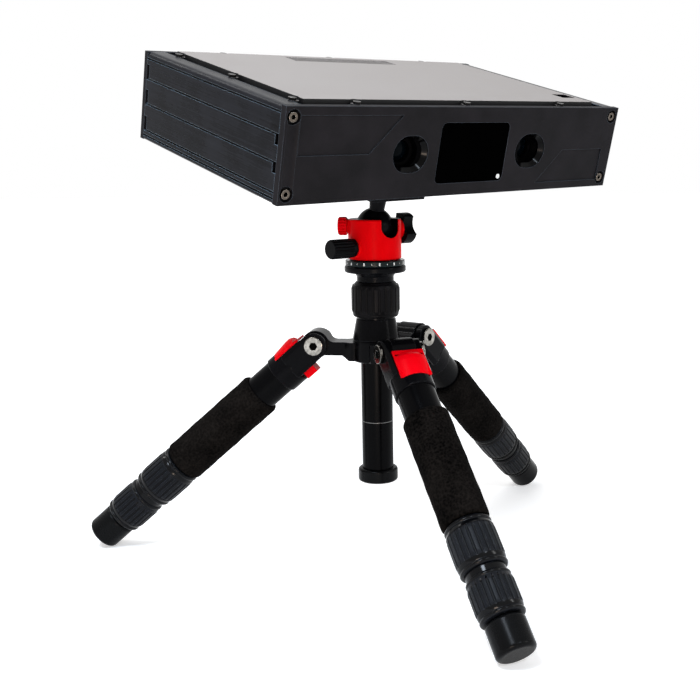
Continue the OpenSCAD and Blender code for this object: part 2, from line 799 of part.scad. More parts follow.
module ball_stem() color("#1a1b1f") stem_at() {
  sphere(d = ball_d, $fn = 96);
  translate([0, 0, neck_z]) cylinder(d1 = neck_d, d2 = neck_top_d, h = neck_h, $fn = 64);
  bore(stem_pin_d, clamp_gap - 2, clamp_gap + stem_pin_h);
}

module ball_lock_knob() color("#15161a") knob_at(0, lock_knob_drop) {
  translate([0, 0, lock_boss_r + slide_gap]) linear_extrude(lock_knob_len) difference() {
    circle(lobe_r, $fn = 96);
    for (t = leg_turns) rotate(lobe_turn + t) translate([1.4 * lobe_r, 0]) circle(0.8 * lobe_r, $fn = 96);
  }
  bore(knob_shaft_d, 16, lock_boss_r + 1);
}

module pan_lock_knob() color("#15161a") knob_at(180, pan_knob_drop) {
  rim(0, pan_knob_d / 2 - 0.4, pan_boss_r + slide_gap, pan_boss_r + slide_gap + 4, 0.8);
  translate([0, 0, pan_boss_r + slide_gap]) ribbed(pan_knob_d, 3, pan_knob_len, 20, 0.9, 1);
  bore(small_shaft_d, 11.5, pan_boss_r + 1);
}

module friction_knob() color("#d0343c") knob_at(friction_turn, friction_knob_drop) {
  translate([0, 0, friction_boss_r + slide_gap]) ribbed(friction_knob_d, 0, friction_knob_len, 18, 0.9, 1);
  bore(small_shaft_d, 16.5, friction_boss_r + 1);
}

// Dovetail side of the fixed jaw, outline in depth and height
module clamp_base() color("#17181c") stem_at() difference() {
  rotate([90, 0, 90]) translate([0, 0, -clamp_len / 2]) linear_extrude(clamp_len) polygon([
    [-clamp_w / 2, clamp_gap], [jaw_y, clamp_gap], [jaw_y, clamp_floor],
    [-dovetail_w / 2 - seat_gap, clamp_floor], [-dovetail_w / 2 - seat_gap, clamp_floor + dovetail_lip],
    [-dovetail_w / 2 + dovetail_h - seat_gap, clamp_floor + dovetail_lip + dovetail_h],
    [-dovetail_w / 2 + dovetail_h - seat_gap, lip_top], [-clamp_w / 2, lip_top]
  ]);
  bore(stem_pin_d + 2 * slide_gap, clamp_gap - 1, clamp_gap + stem_pin_h + slide_gap);
  for (x = [-guide_x, guide_x]) translate([x, 0, clamp_screw_z]) rotate([-90, 0, 0]) {
    bore(guide_d + 2 * slide_gap, guide_in - 1, jaw_y + 1);
  }
  translate([0, 0, clamp_screw_z + 2]) rotate([-90, 0, 0]) {
    bore(clamp_screw_d + 2 * slide_gap, jaw_y - 8, jaw_y + 1);
  }
}

module clamp_jaw() color("#17181c") stem_at() {
  difference() {
    rotate([90, 0, 90]) translate([0, 0, -jaw_len / 2]) linear_extrude(jaw_len) polygon([
      [jaw_y + slide_gap, clamp_gap + 0.5], [clamp_w / 2, clamp_gap + 0.5], [clamp_w / 2, lip_top],
      [dovetail_w / 2 - dovetail_h + jaw_gap, lip_top],
      [dovetail_w / 2 - dovetail_h + jaw_gap, clamp_floor + dovetail_lip + dovetail_h],
      [dovetail_w / 2 + jaw_gap, clamp_floor + dovetail_lip],
      [dovetail_w / 2 + jaw_gap, clamp_floor - slide_gap],
      [jaw_y + slide_gap, clamp_floor - slide_gap]
    ]);
    translate([0, 0, clamp_screw_z + 2]) rotate([-90, 0, 0]) {
      bore(clamp_screw_d + 2 * slide_gap, jaw_y, clamp_w);
    }
  }
  for (x = [-guide_x, guide_x]) translate([x, 0, clamp_screw_z]) rotate([-90, 0, 0]) {
    bore(guide_d, guide_in, jaw_y + 2);
  }
}

module clamp_knob() color("#15161a") stem_at() translate([0, 0, clamp_screw_z + 2]) rotate([-90, 0, 0]) {
  translate([0, 0, clamp_w / 2 + slide_gap]) ribbed(clamp_knob_d, 0, clamp_knob_len, 20, 0.9, 1.5);
  bore(clamp_screw_d, jaw_y - 7.5, clamp_w / 2 + 1);
}

module release_plate() color("#1c1d21") stem_at() difference() {
  rotate([90, 0, 90]) translate([0, 0, -plate_len / 2]) linear_extrude(plate_len) polygon([
    [-dovetail_w / 2, clamp_floor], [dovetail_w / 2, clamp_floor],
    [dovetail_w / 2, clamp_floor + dovetail_lip],
    [dovetail_w / 2 - dovetail_h, clamp_floor + dovetail_lip + dovetail_h],
    [dovetail_w / 2 - dovetail_h, plate_z], [plate_w / 2, plate_z], [plate_w / 2, deck_z],
    [-plate_w / 2, deck_z], [-plate_w / 2, plate_z], [dovetail_h - dovetail_w / 2, plate_z],
    [dovetail_h - dovetail_w / 2, clamp_floor + dovetail_lip + dovetail_h],
    [-dovetail_w / 2, clamp_floor + dovetail_lip]
  ]);
  bore(plate_bolt_head_d + 1, clamp_floor - 1, clamp_floor + plate_bolt_head_h + 0.5);
  bore(plate_bolt_d + 0.2, clamp_floor, deck_z + 1);
}

module plate_bolt() color("#b9bcc2") stem_at() {
  bore(plate_bolt_head_d, clamp_floor + 0.5, clamp_floor + plate_bolt_head_h + 0.5);
  bore(plate_bolt_d, clamp_floor + 1, deck_z + plate_bolt_reach);
}

// Two shallow fields that meet the middle of the panel with a slanted end
module fields() {
  polygon([
    [field_side - side_x, optics_z + 1], [optics_x - field_x, optics_z + 1],
    [optics_x - field_x + case_h - optics_z - 1 - field_edge, case_h - field_edge],
    [field_side - side_x, case_h - field_edge]
  ]);
  polygon([
    [side_x - field_side, optics_z], [optics_x + field_x, optics_z],
    [optics_x + field_x - optics_z + field_edge, field_edge], [side_x - field_side, field_edge]
  ]);
}

module port_outline() translate([0, optics_z]) {
  for (x = [-1, 1]) translate([optics_x + x * port_x, 0]) {
    square([port_w - port_h, port_h], center = true);
    for (s = [-1, 1]) translate([s * (port_w - port_h) / 2, 0]) circle(d = port_h, $fn = 96);
  }
}

module panel_ledges(y0, y1) {
  translate([0.5 - ledge_x, y0, ledge_low]) cube([2 * ledge_x - 1, y1 - y0, ledge_t]);
  translate([0.5 - ledge_x, y0, bottom_t]) cube([2 * ledge_x - 1, y1 - y0, ledge_t]);
}

module plate_screw_bores() for (p = screw_points) translate([p[0], p[1], 0]) {
  bore(screw_d + 2 * seat_gap, -1, bottom_t + screw_len);
  bore(screw_d + 2 * seat_gap, ledge_top - screw_len, ledge_top + 1);
}

module front_panel() color("#1f1f22") case_at() difference() {
  union() {
    translate([-side_x, front_y, 0]) cube([case_w, front_t, case_h]);
    panel_ledges(wall_front - eps, wall_front + panel_ledge);
  }
  upright(front_y - 1, front_y + field_deep) fields();
  upright(front_y - 1, wall_front + 1) port_outline();
  upright(front_y - 1, glass_back) translate([optics_x, optics_z]) {
    rounded_rect(window_w + 2 * seat_gap, window_h + 2 * seat_gap, window_r);
  }
  upright(front_y - 1, wall_front + 30) translate([optics_x, optics_z]) {
    square([window_w - 2 * window_lip, window_h - 2 * window_lip], center = true);
  }
  for (p = panel_points) translate([p[0], front_y, p[1]]) rotate([-90, 0, 0]) {
    bore(panel_bore_d, -1, panel_head_h + 0.5);
    bore(panel_screw_d + 0.4, 0, front_t + 1);
  }
  translate([panel_screw_x - side_x, front_y - hollow_r + hollow_deep, 0]) {
    bore(2 * hollow_r, panel_screw_z, case_h - panel_screw_z);
  }
  plate_screw_bores();
}

module rear_panel() color("#1f1f22") case_at() difference() {
  union() {
    translate([-side_x, wall_rear, 0]) cube([case_w, rear_t, case_h]);
    panel_ledges(wall_rear - panel_ledge, wall_rear + eps);
  }
  for (p = panel_points) translate([p[0], rear_y, p[1]]) rotate([90, 0, 0]) {
    bore(panel_bore_d, -1, panel_head_h - 0.5);
    bore(panel_screw_d + 0.4, 0, rear_t + 1);
  }
  translate([inlet_x, wall_rear - 1, inlet_z]) rotate([-90, 0, 0]) {
    bore(inlet_d + 2 * seat_gap, 0, rear_t + 2);
  }
  translate([socket_x - socket_w / 2 - seat_gap, wall_rear - 1, board_z + board_t - seat_gap]) {
    cube([socket_w + 2 * seat_gap, rear_t + 2, socket_h + 2 * seat_gap]);
  }
  translate([board_x - board_w / 2 - 3, wall_rear - panel_ledge - 1, bottom_t - 1]) {
    cube([board_w + 6, panel_ledge + 1, ledge_t + 2]);
  }
  plate_screw_bores();
}

// Extruded side, outline in width and height
module side_section() difference() {
  union() {
    translate([-side_x, 1.5]) square([side_wall, case_h - 1.5 - side_round]);
    translate([1.5 - side_x, 1.5]) circle(1.5, $fn = 48);
    translate([side_round - side_x, case_h - side_round]) circle(side_round, $fn = 48);
    translate([side_round - side_x, ledge_low]) square([side_flange - side_round, case_h - ledge_low]);
    translate([-side_x, ledge_low]) square([side_flange, case_h - ledge_low - side_round]);
    translate([1.5 - side_x, 0]) square([side_flange - 1.5, bottom_t + ledge_t]);
    translate([-side_x, 1.5]) square([side_flange, bottom_t + ledge_t - 1.5]);
    translate([-flange_x - eps, ledge_low]) square([ledge_w + eps, ledge_t]);
    translate([-flange_x - eps, bottom_t]) square([ledge_w + eps, ledge_t]);
    for (z = [panel_screw_z, case_h - panel_screw_z]) {
      translate([panel_screw_x - side_x, z]) circle(boss_r, $fn = 48);
    }
  }
  for (z = groove_marks) translate([-side_x - 1, z - groove_w / 2]) square([groove_deep + 1, groove_w]);
  for (z = [panel_screw_z, case_h - panel_screw_z]) {
    translate([panel_screw_x - side_x, z]) circle(d = panel_screw_d + 2 * seat_gap, $fn = 48);
  }
}

module side() difference() {
  upright(wall_front, wall_rear) side_section();
  for (i = [0:2]) translate([-side_x - 1, wall_rear - notch_len, groove_marks[i]]) {
    cube([notch_deep + 1, notch_len + 1, notch_h]);
  }
  for (i = [1:2]) translate([-side_x - 1, wall_front - 1, groove_marks[i] - front_notch_h]) {
    cube([notch_deep + 1, notch_len + 1, front_notch_h]);
  }
  plate_screw_bores();
}

module left_side() color("#2a2b2f") case_at() side();

module right_side() color("#2a2b2f") case_at() mirror([1, 0, 0]) side();

module bottom_plate() color("#1f1f22") case_at() difference() {
  union() {
    translate([0.2 - flange_x, wall_front + 0.2, 0]) {
      cube([2 * flange_x - 0.4, wall_rear - wall_front - 0.4, bottom_t]);
    }
    bore(nut_d, bottom_t - 1, bottom_t + nut_h);
    for (x = [-1, 1]) for (y = [0.12, 0.88]) {
      translate([board_x + x * board_post_x, board_rear - board_d * y, 0]) {
        bore(post_d, bottom_t - 1, board_z);
      }
    }
  }
  bore(plate_bolt_d + 2 * seat_gap, -1, bottom_t + nut_h + 1);
  for (p = screw_points) translate([p[0], p[1], 0]) {
    bore(screw_d + 2 * seat_gap, -1, bottom_t + 1);
    bore(screw_head_d + 0.4, -1, screw_head_h);
  }
}

module top_cover() color("#b9b6b5") case_at() difference() {
  union() {
    translate([-cover_x, cover_front, ledge_top]) cube([2 * cover_x, cover_rear - cover_front, cover_t]);
    for (p = screw_points) translate([p[0], p[1], ledge_top]) rotate([0, 0, p[2]]) {
      cylinder(d = tab_d, h = tab_t, $fn = 64);
      translate([0, -tab_d / 2, 0]) cube([channel_w, tab_d, tab_t]);
    }
  }
  for (p = screw_points) translate([p[0], p[1], ledge_top]) {
    bore(screw_d + 2 * seat_gap, -1, tab_t + 1);
    bore(tab_d + 2.4, tab_t, cover_t + 1);
  }
  for (i = [0:vent_count - 1]) {
    translate([vent_x + i * vent_pitch, rear_y - vent_inset - vent_len, ledge_top - 1]) {
      cube([vent_w, vent_len, cover_t + 2]);
    }
  }
  translate([cover_x - status_inset - status_w, cover_front + status_front, ledge_top + cover_t - 1]) {
    cube([status_w, status_d, 2]);
  }
}

module plate_screws() color("#26272b") case_at() for (p = screw_points) translate([p[0], p[1], 0]) {
  bore(screw_head_d, ledge_top + tab_t, ledge_top + tab_t + screw_head_h);
  bore(screw_d, ledge_top - screw_len + 0.5, ledge_top + tab_t + 1);
  bore(screw_head_d, 0, screw_head_h);
  bore(screw_d, 1, bottom_t + screw_len - 0.5);
}

module panel_screw() difference() {
  union() {
    bore(panel_head_d, 0, panel_head_h);
    bore(panel_screw_d, 1, panel_head_h + panel_screw_len);
  }
  translate([0, 0, -1]) cylinder(d = panel_socket_d, h = panel_head_h, $fn = 6);
}

module panel_screws() color("#26272b") case_at() for (p = panel_points) {
  translate([p[0], front_y + 0.5, p[1]]) rotate([-90, 0, 0]) panel_screw();
  translate([p[0], rear_y + 0.5, p[1]]) rotate([90, 0, 0]) panel_screw();
}

module projector_window() color("#0a0b0d") case_at() upright(glass_y, glass_back) {
  translate([optics_x, optics_z]) rounded_rect(window_w, window_h, window_r);
}

module projector() color("#2b2d31") case_at() {
  translate([optics_x - projector_w / 2, projector_front, projector_low]) {
    cube([projector_w, projector_d, projector_h]);
  }
  translate([optics_x, projector_front, optics_z]) rotate([90, 0, 0]) difference() {
    bore(projector_barrel_d, -1, barrel_len);
    bore(projector_lens_d, barrel_len - 5, barrel_len + 1);
  }
  for (x = [-1, 1]) for (y = [8, projector_d - 8]) {
    translate([optics_x + x * (projector_w / 2 - 6), projector_front + y, 0]) {
      bore(post_d, bottom_t, projector_low + 1);
    }
  }
}

// Camera aimed toward the middle, s is the side
module aimed(s) case_at() translate([optics_x + s * port_x, camera_front, optics_z]) {
  rotate([0, 0, s * toe_in]) children();
}

module camera(s) {
  aimed(s) translate([-camera_w / 2, 0, -camera_h / 2]) cube([camera_w, camera_d, camera_h]);
  aimed(s) rotate([90, 0, 0]) difference() {
    bore(barrel_d, -1, barrel_len);
    bore(lens_d + 2 * seat_gap, barrel_len - 4, barrel_len + 1);
  }
  aimed(s) for (y = [6, camera_d - 6]) translate([0, y, bottom_t - optics_z]) {
    bore(post_d, 0, optics_z - bottom_t - camera_h / 2 + 1);
  }
}

module left_camera() color("#2b2d31") camera(-1);

module right_camera() color("#2b2d31") camera(1);

module camera_lenses() color("#27304a") for (s = [-1, 1]) aimed(s) rotate([90, 0, 0]) intersection() {
  bore(lens_d, barrel_len - 4, barrel_len);
  translate([0, 0, barrel_len - 4 + lens_t + 0.5 - lens_d]) sphere(r = lens_d, $fn = 96);
}

module main_board() color("#1d4a33") case_at() {
  translate([board_x - board_w / 2, board_rear - board_d, board_z]) cube([board_w, board_d, board_t]);
  difference() {
    union() {
      translate([inlet_x - inlet_body / 2, board_rear - inlet_len, board_z + board_t - eps]) {
        cube([inlet_body, inlet_len, inlet_body]);
      }
      translate([inlet_x, rear_y, inlet_z]) rotate([90, 0, 0]) bore(inlet_d, 0, inlet_len);
    }
    translate([inlet_x, rear_y, inlet_z]) rotate([90, 0, 0]) bore(inlet_bore, -1, inlet_depth);
  }
  translate([socket_x - socket_w / 2, rear_y - inlet_len, board_z + board_t - eps]) {
    cube([socket_w, inlet_len, socket_h]);
  }
}

spider();
pivot_bolts();
leg_casting(1);  // leg_casting_1
leg_casting(2);  // leg_casting_2
leg_casting(3);  // leg_casting_3
upper_tube(1);  // upper_tube_1
upper_tube(2);  // upper_tube_2
upper_tube(3);  // upper_tube_3
foam_grip(1);  // foam_grip_1
foam_grip(2);  // foam_grip_2
foam_grip(3);  // foam_grip_3
upper_lock(1);  // upper_lock_1
upper_lock(2);  // upper_lock_2
upper_lock(3);  // upper_lock_3
middle_tube(1);  // middle_tube_1
middle_tube(2);  // middle_tube_2
middle_tube(3);  // middle_tube_3
lower_lock(1);  // lower_lock_1
lower_lock(2);  // lower_lock_2
lower_lock(3);  // lower_lock_3
lower_tube(1);  // lower_tube_1
lower_tube(2);  // lower_tube_2
lower_tube(3);  // lower_tube_3
foot(1);  // foot_1
foot(2);  // foot_2
foot(3);  // foot_3
angle_latch(1);  // angle_latch_1
angle_latch(2);  // angle_latch_2
angle_latch(3);  // angle_latch_3
column_collar();
column_head();
column_upper();
column_lower();
column_end();
head_base();
scale_ring();
ball_housing();
ball_stem();
ball_lock_knob();
pan_lock_knob();
friction_knob();
clamp_base();
clamp_jaw();
clamp_knob();
release_plate();
plate_bolt();
front_panel();
rear_panel();
left_side();
right_side();
bottom_plate();
top_cover();
plate_screws();
panel_screws();
projector_window();
projector();
left_camera();
right_camera();
camera_lenses();
main_board();
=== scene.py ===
"""Dresses the structured-light scanner and its tabletop tripod, and sets up the studio."""

import logging
import math
from dataclasses import dataclass
from enum import Enum
from typing import Optional, Sequence, Union

import bmesh
import bpy
from mathutils import Matrix, Vector


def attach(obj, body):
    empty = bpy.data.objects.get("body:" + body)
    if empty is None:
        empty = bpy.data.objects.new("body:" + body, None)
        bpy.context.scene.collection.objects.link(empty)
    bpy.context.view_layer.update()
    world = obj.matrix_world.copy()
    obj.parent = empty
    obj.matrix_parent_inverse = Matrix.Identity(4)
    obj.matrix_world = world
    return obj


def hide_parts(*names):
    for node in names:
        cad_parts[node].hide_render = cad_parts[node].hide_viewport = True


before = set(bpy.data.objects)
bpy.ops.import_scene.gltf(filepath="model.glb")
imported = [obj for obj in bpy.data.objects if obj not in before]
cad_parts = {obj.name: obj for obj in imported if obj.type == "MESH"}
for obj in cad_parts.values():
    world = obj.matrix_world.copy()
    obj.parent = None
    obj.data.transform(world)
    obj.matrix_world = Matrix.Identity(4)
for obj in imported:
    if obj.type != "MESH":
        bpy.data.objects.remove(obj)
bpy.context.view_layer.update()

LOG = logging.getLogger("scanner")
MM = 0.001
LEGS = (1, 2, 3)
LEG_STEP = 360 / len(LEGS)
# The two cameras, each with the sign of its side.
CAMERAS = (("left", -1), ("right", 1))
SHARP_ANGLE = math.radians(35)
# Where a lathe outline ends at the axis, just off it, so that no face is without area.
AXIS_R = 0.01
Z_TO_Y = Matrix.Rotation(-math.pi / 2, 4, "X")
Z_TO_MINUS_Y = Matrix.Rotation(math.pi / 2, 4, "X")
WHITE = (1.0, 1.0, 1.0, 1.0)

Point = tuple[float, float, float]
Colour = tuple[float, float, float, float]
Pair = tuple[float, float]
Outline = Sequence[Pair]
Socket = bpy.types.NodeSocket
Tree = bpy.types.NodeTree


def hex_linear(code: str) -> Colour:
    """Turns an sRGB hex colour to linear light, by the curve of the sRGB standard.

    Args:
        code: Six hex digits after a hash sign.

    Returns:
        Linear red, green and blue, with alpha 1.
    """
    parts = [int(code[i:i + 2], 16) / 255 for i in (1, 3, 5)]
    light = [p / 12.92 if p <= 0.04045 else ((p + 0.055) / 1.055) ** 2.4 for p in parts]
    return light[0], light[1], light[2], 1.0


def add_node(
    tree: Tree,
    kind: str,
    inputs: Optional[dict[Union[str, int], object]] = None,
    **settings: object,
) -> bpy.types.Node:
    """Adds one node, sets its properties and fills or links its sockets.

    Args:
        tree: The node tree that takes the node.
        kind: Blender's type name of the node.
        inputs: Socket name or number to a plain value, or to an output socket to link.
        settings: Properties of the node itself.

    Returns:
        The new node.
    """
    node = tree.nodes.new(kind)
    for key, value in settings.items():
        setattr(node, key, value)
    for key, value in (inputs or {}).items():
        if isinstance(value, bpy.types.NodeSocket):
            tree.links.new(value, node.inputs[key])
        else:
            node.inputs[key].default_value = value
    return node


@dataclass(frozen=True)
class Layout:
    """Where the sub-assemblies stand at rest, in millimetres and degrees."""

    # From the column axis to the origin of the frame.
    plan_x: float = 31.5146
    plan_y: float = -24.2296
    # Legs: turn of the first one, angle from the column, and place of the pivots.
    leg_yaw: float = 13.0
    splay: float = 48.6
    pivot_r: float = 45.5
    pivot_z: float = 166.4167
    # Ball, tilt of its stem, and where the underside of the case is on the stem.
    ball_z: float = 255.8167
    pitch: float = 14.5
    roll: float = -1.1
    deck: float = 48.6

    def column(self) -> Matrix:
        """Returns the frame of the column axis, with the floor at zero."""
        return Matrix.Translation(Vector((-self.plan_x, -self.plan_y, 0)) * MM)

    def leg(self, index: int) -> Matrix:
        """Finds the frame of a leg.

        Args:
            index: Leg number from 1 to 3.

        Returns:
            A frame at the pivot, with Z down the leg and -X to its outer side.
        """
        yaw = Matrix.Rotation(math.radians(self.leg_yaw + LEG_STEP * (index - 1)), 4, "Z")
        pivot = Matrix.Translation(Vector((self.pivot_r, 0, self.pivot_z)) * MM)
        down = Matrix.Rotation(math.radians(180 - self.splay), 4, "Y")
        return self.column() @ (yaw @ pivot) @ down

    def stem(self) -> Matrix:
        """Returns the frame of the ball, with Z along its stem."""
        roll = Matrix.Rotation(math.radians(self.roll), 4, "Y")
        pitch = Matrix.Rotation(math.radians(self.pitch), 4, "X")
        return self.column() @ Matrix.Translation((0, 0, self.ball_z * MM)) @ roll @ pitch

    def case(self) -> Matrix:
        """Returns the frame of the case, from the middle of its underside."""
        return self.stem() @ Matrix.Translation((0, 0, self.deck * MM))


LAYOUT = Layout()


class Pattern(Enum):
    """How the surface was made, which sets the pattern that the eye finds on it."""

    BLASTED = "even fine grit"
    DRAWN = "fine lines along the part"
    MOULDED = "soft mottle"
    FOAMED = "closed cells"
    POLISHED = "faint smears"


# Detail of the noise behind each pattern. Foam has cells instead.
NOISE_DETAIL = {
    Pattern.BLASTED: 2.0, Pattern.DRAWN: 4.0, Pattern.MOULDED: 5.0, Pattern.POLISHED: 2.0,
}
NOISE_ROUGHNESS = 0.6
# Broad unevenness of every surface: its size, the band of noise that shows, and its strength.
SMEAR_MM = 22.0
SMEAR_DETAIL = 3.0
SMEAR_BAND = (0.3, 0.7)
SMEAR_SHARE = 0.25
LEAST_ROUGHNESS = 0.02
# An edge takes the painted highlight where its rounded normal leaves the flat one, by the cosine
# between them.
EDGE_HIGHLIGHT_BAND = (0.80, 0.99)
EDGE_SAMPLES = 6
# A face takes the painted side shade where its normal leaves the upright of the case, by the cosine
# between them.
SIDE_SHADE_BAND = (0.6, 0.9)
# Change of openness over which the painted shade of a groove fades out.
VALLEY_FADE = 0.3
VALLEY_SAMPLES = 8
# Colour of the painted shade in a bore, which keeps it black.
HOLLOW_SHADE = "#060505"
# Sockets of the colour mix node, whose names repeat: three inputs and the output.
MIX_SHARE, MIX_FIRST, MIX_SECOND, MIX_COLOUR = 0, 6, 7, 2


@dataclass(frozen=True)
class Finish:
    """One real surface: its colours, gloss and pattern, with painted highlights on its edges and
    painted shade where it has some.

    Colours are sRGB hex values and lengths are millimetres.

    Attributes:
        name: What the material is and how it was made.
        body: Main colour.
        fleck: Colour that the pattern brings in.
        roughness: Middle roughness.
        spread: How far the pattern moves the roughness each way.
        grain_mm: Size of the pattern.
        depth_mm: Depth of the pattern.
        pattern: Kind of pattern.
        edge_mm: Radius that the light finds on edges.
        metallic: 1 for bare metal, less where it is blackened.
        edge: Colour of the painted highlight on edges, where it has one.
        edge_share: Share of that colour on an edge.
        specular: Strength of the gloss.
        turn: Turn of the pattern in radians.
        lengthen: Stretch of the pattern along each axis.
        bore_shade_r: Radius of the painted shade in a bore round the column axis, or 0.
        sides: Colour of the painted shade on faces that turn away from the upright of the case,
            where it has one.
        valley_mm: Reach of the painted shade in grooves, or 0.
        valley_shade: Colour of the painted shade in grooves.
        valley_to: Openness above which there is no such painted shade.
    """

    name: str
    body: str
    fleck: str
    roughness: float
    spread: float
    grain_mm: float
    depth_mm: float
    pattern: Pattern
    edge_mm: float
    metallic: float = 0.0
    edge: Optional[str] = None
    edge_share: float = 0.0
    specular: float = 0.5
    turn: Point = (0.0, 0.0, 0.0)
    lengthen: Point = (1.0, 1.0, 1.0)
    bore_shade_r: float = 0.0
    sides: Optional[str] = None
    valley_mm: float = 0.0
    valley_shade: str = "#020203"
    valley_to: float = 0.88

    def _grain(self, tree: Tree, place: Socket) -> Socket:
        """Adds the fine pattern.

        Args:
            tree: The material's node tree.
            place: Coordinates in metres.

        Returns:
            A value socket from 0 to 1.
        """
        scale = [self.grain_mm * MM * stretch for stretch in self.lengthen]
        spot = add_node(
            tree, "ShaderNodeMapping", {"Vector": place, "Rotation": self.turn, "Scale": scale},
            vector_type="TEXTURE",
        ).outputs[0]
        if self.pattern is Pattern.FOAMED:
            cells = {"Vector": spot, "Scale": 1.0, "Randomness": 1.0}
            made = add_node(tree, "ShaderNodeTexVoronoi", cells, feature="SMOOTH_F1")
            return made.outputs["Distance"]
        noise = {
            "Vector": spot, "Scale": 1.0, "Detail": NOISE_DETAIL[self.pattern],
            "Roughness": NOISE_ROUGHNESS,
        }
        return add_node(tree, "ShaderNodeTexNoise", noise).outputs["Fac"]

    def _uneven(self, tree: Tree, place: Socket, grain: Socket) -> Socket:
        """Adds the broad unevenness to the fine pattern.

        Args:
            tree: The material's node tree.
            place: Coordinates in metres.
            grain: The fine pattern.

        Returns:
            A value socket from 0 to 1.
        """
        broad = add_node(
            tree, "ShaderNodeTexNoise",
            {"Vector": place, "Scale": 1 / (SMEAR_MM * MM), "Detail": SMEAR_DETAIL},
        )
        smear = add_node(
            tree, "ShaderNodeMapRange",
            {
                "Value": broad.outputs["Fac"], "From Min": SMEAR_BAND[0], "From Max": SMEAR_BAND[1],
                "To Min": -SMEAR_SHARE, "To Max": SMEAR_SHARE,
            },
        )
        return add_node(
            tree, "ShaderNodeMath", {0: grain, 1: smear.outputs[0]}, operation="ADD",
            use_clamp=True,
        ).outputs[0]

    def _shaded(
        self, tree: Tree, colour: Union[Socket, Colour], share: Socket, other: str,
    ) -> Socket:
        """Mixes a second colour over part of the surface.

        Args:
            tree: The material's node tree.
            colour: Colour so far.
            share: Share of the second colour, from 0 to 1.
            other: The second colour.

        Returns:
            The mixed colour socket.
        """
        inputs = {MIX_SHARE: share, MIX_FIRST: colour, MIX_SECOND: hex_linear(other)}
        return add_node(tree, "ShaderNodeMix", inputs, data_type="RGBA").outputs[MIX_COLOUR]

    def _painted_edge_highlight(self, tree: Tree, rounded: Socket) -> Socket:
        """Finds the edges that take the painted highlight.

        Args:
            tree: The material's node tree.
            rounded: Normal with rounded edges.

        Returns:
            The share of the painted highlight colour.
        """
        flat = add_node(tree, "ShaderNodeNewGeometry").outputs["Normal"]
        same = add_node(
            tree, "ShaderNodeVectorMath", {0: rounded, 1: flat}, operation="DOT_PRODUCT",
        )
        return add_node(
            tree, "ShaderNodeMapRange",
            {
                "Value": same.outputs["Value"], "From Min": EDGE_HIGHLIGHT_BAND[0], "From Max": EDGE_HIGHLIGHT_BAND[1],
                "To Min": self.edge_share, "To Max": 0.0,
            },
        ).outputs[0]

    def _painted_bore_shade(self, tree: Tree, place: Socket) -> Socket:
        """Finds the bore round the column axis, which takes the painted shade.

        Args:
            tree: The material's node tree.
            place: Coordinates in metres.

        Returns:
            1 inside the bore, 0 outside it.
        """
        axis = (-LAYOUT.plan_x * MM, -LAYOUT.plan_y * MM, 0.0)
        flat = add_node(
            tree, "ShaderNodeVectorMath", {0: place, 1: (1.0, 1.0, 0.0)}, operation="MULTIPLY",
        )
        away = add_node(
            tree, "ShaderNodeVectorMath", {0: flat.outputs[0], 1: axis}, operation="DISTANCE",
        )
        return add_node(
            tree, "ShaderNodeMath", {0: away.outputs["Value"], 1: self.bore_shade_r * MM},
            operation="LESS_THAN",
        ).outputs[0]

    def _painted_side_shade(self, tree: Tree, normal: Socket) -> Socket:
        """Finds the faces that turn away from the upright of the case, which take the painted
        shade.

        Args:
            tree: The material's node tree.
            normal: Normal of the surface.

        Returns:
            1 on cut sides, 0 on the face.
        """
        up = LAYOUT.case().to_3x3() @ Vector((0, 0, 1))
        facing = add_node(
            tree, "ShaderNodeVectorMath", {0: normal, 1: up}, operation="DOT_PRODUCT",
        )
        return add_node(
            tree, "ShaderNodeMapRange",
            {
                "Value": facing.outputs["Value"], "From Min": SIDE_SHADE_BAND[0], "From Max": SIDE_SHADE_BAND[1],
                "To Min": 1.0, "To Max": 0.0,
            },
        ).outputs[0]

    def _painted_groove_shade(self, tree: Tree) -> Socket:
        """Finds the grooves, where little of the surroundings is in view, for the painted shade.

        Args:
            tree: The material's node tree.

        Returns:
            1 deep in a groove, 0 in the open.
        """
        sky = add_node(
            tree, "ShaderNodeAmbientOcclusion", {"Distance": self.valley_mm * MM},
            samples=VALLEY_SAMPLES, only_local=True,
        )
        return add_node(
            tree, "ShaderNodeMapRange",
            {
                "Value": sky.outputs["AO"], "From Min": self.valley_to - VALLEY_FADE,
                "From Max": self.valley_to, "To Min": 1.0, "To Max": 0.0,
            },
        ).outputs[0]

    def material(self) -> bpy.types.Material:
        """Builds the material, or finds it if it was built before.

        Returns:
            The node material of this finish.
        """
        found = bpy.data.materials.get(self.name)
        if found:
            return found
        made = bpy.data.materials.new(self.name)
        made.use_nodes = True
        made.diffuse_color = hex_linear(self.body)
        tree = made.node_tree
        tree.nodes.clear()
        spot = add_node(tree, "ShaderNodeTexCoord").outputs
        grain = self._grain(tree, spot["Object"])
        mixed = self._uneven(tree, spot["Object"], grain)
        colour = self._shaded(tree, hex_linear(self.body), mixed, self.fleck)
        gloss = add_node(
            tree, "ShaderNodeMapRange",
            {
                "Value": mixed,
                "To Min": max(LEAST_ROUGHNESS, self.roughness - self.spread),
                "To Max": min(1.0, self.roughness + self.spread),
            },
        )
        rounded = add_node(
            tree, "ShaderNodeBevel", {"Radius": self.edge_mm * MM}, samples=EDGE_SAMPLES,
        ).outputs[0]
        # Painted highlight on the edges, where the finish has a colour for it.
        if self.edge:
            colour = self._shaded(tree, colour, self._painted_edge_highlight(tree, rounded), self.edge)
        # Painted shade in the bore round the column axis.
        if self.bore_shade_r > 0:
            colour = self._shaded(tree, colour, self._painted_bore_shade(tree, spot["Object"]), HOLLOW_SHADE)
        # Painted shade on the walls of the slots in the cover.
        if self.sides:
            colour = self._shaded(tree, colour, self._painted_side_shade(tree, spot["Normal"]), self.sides)
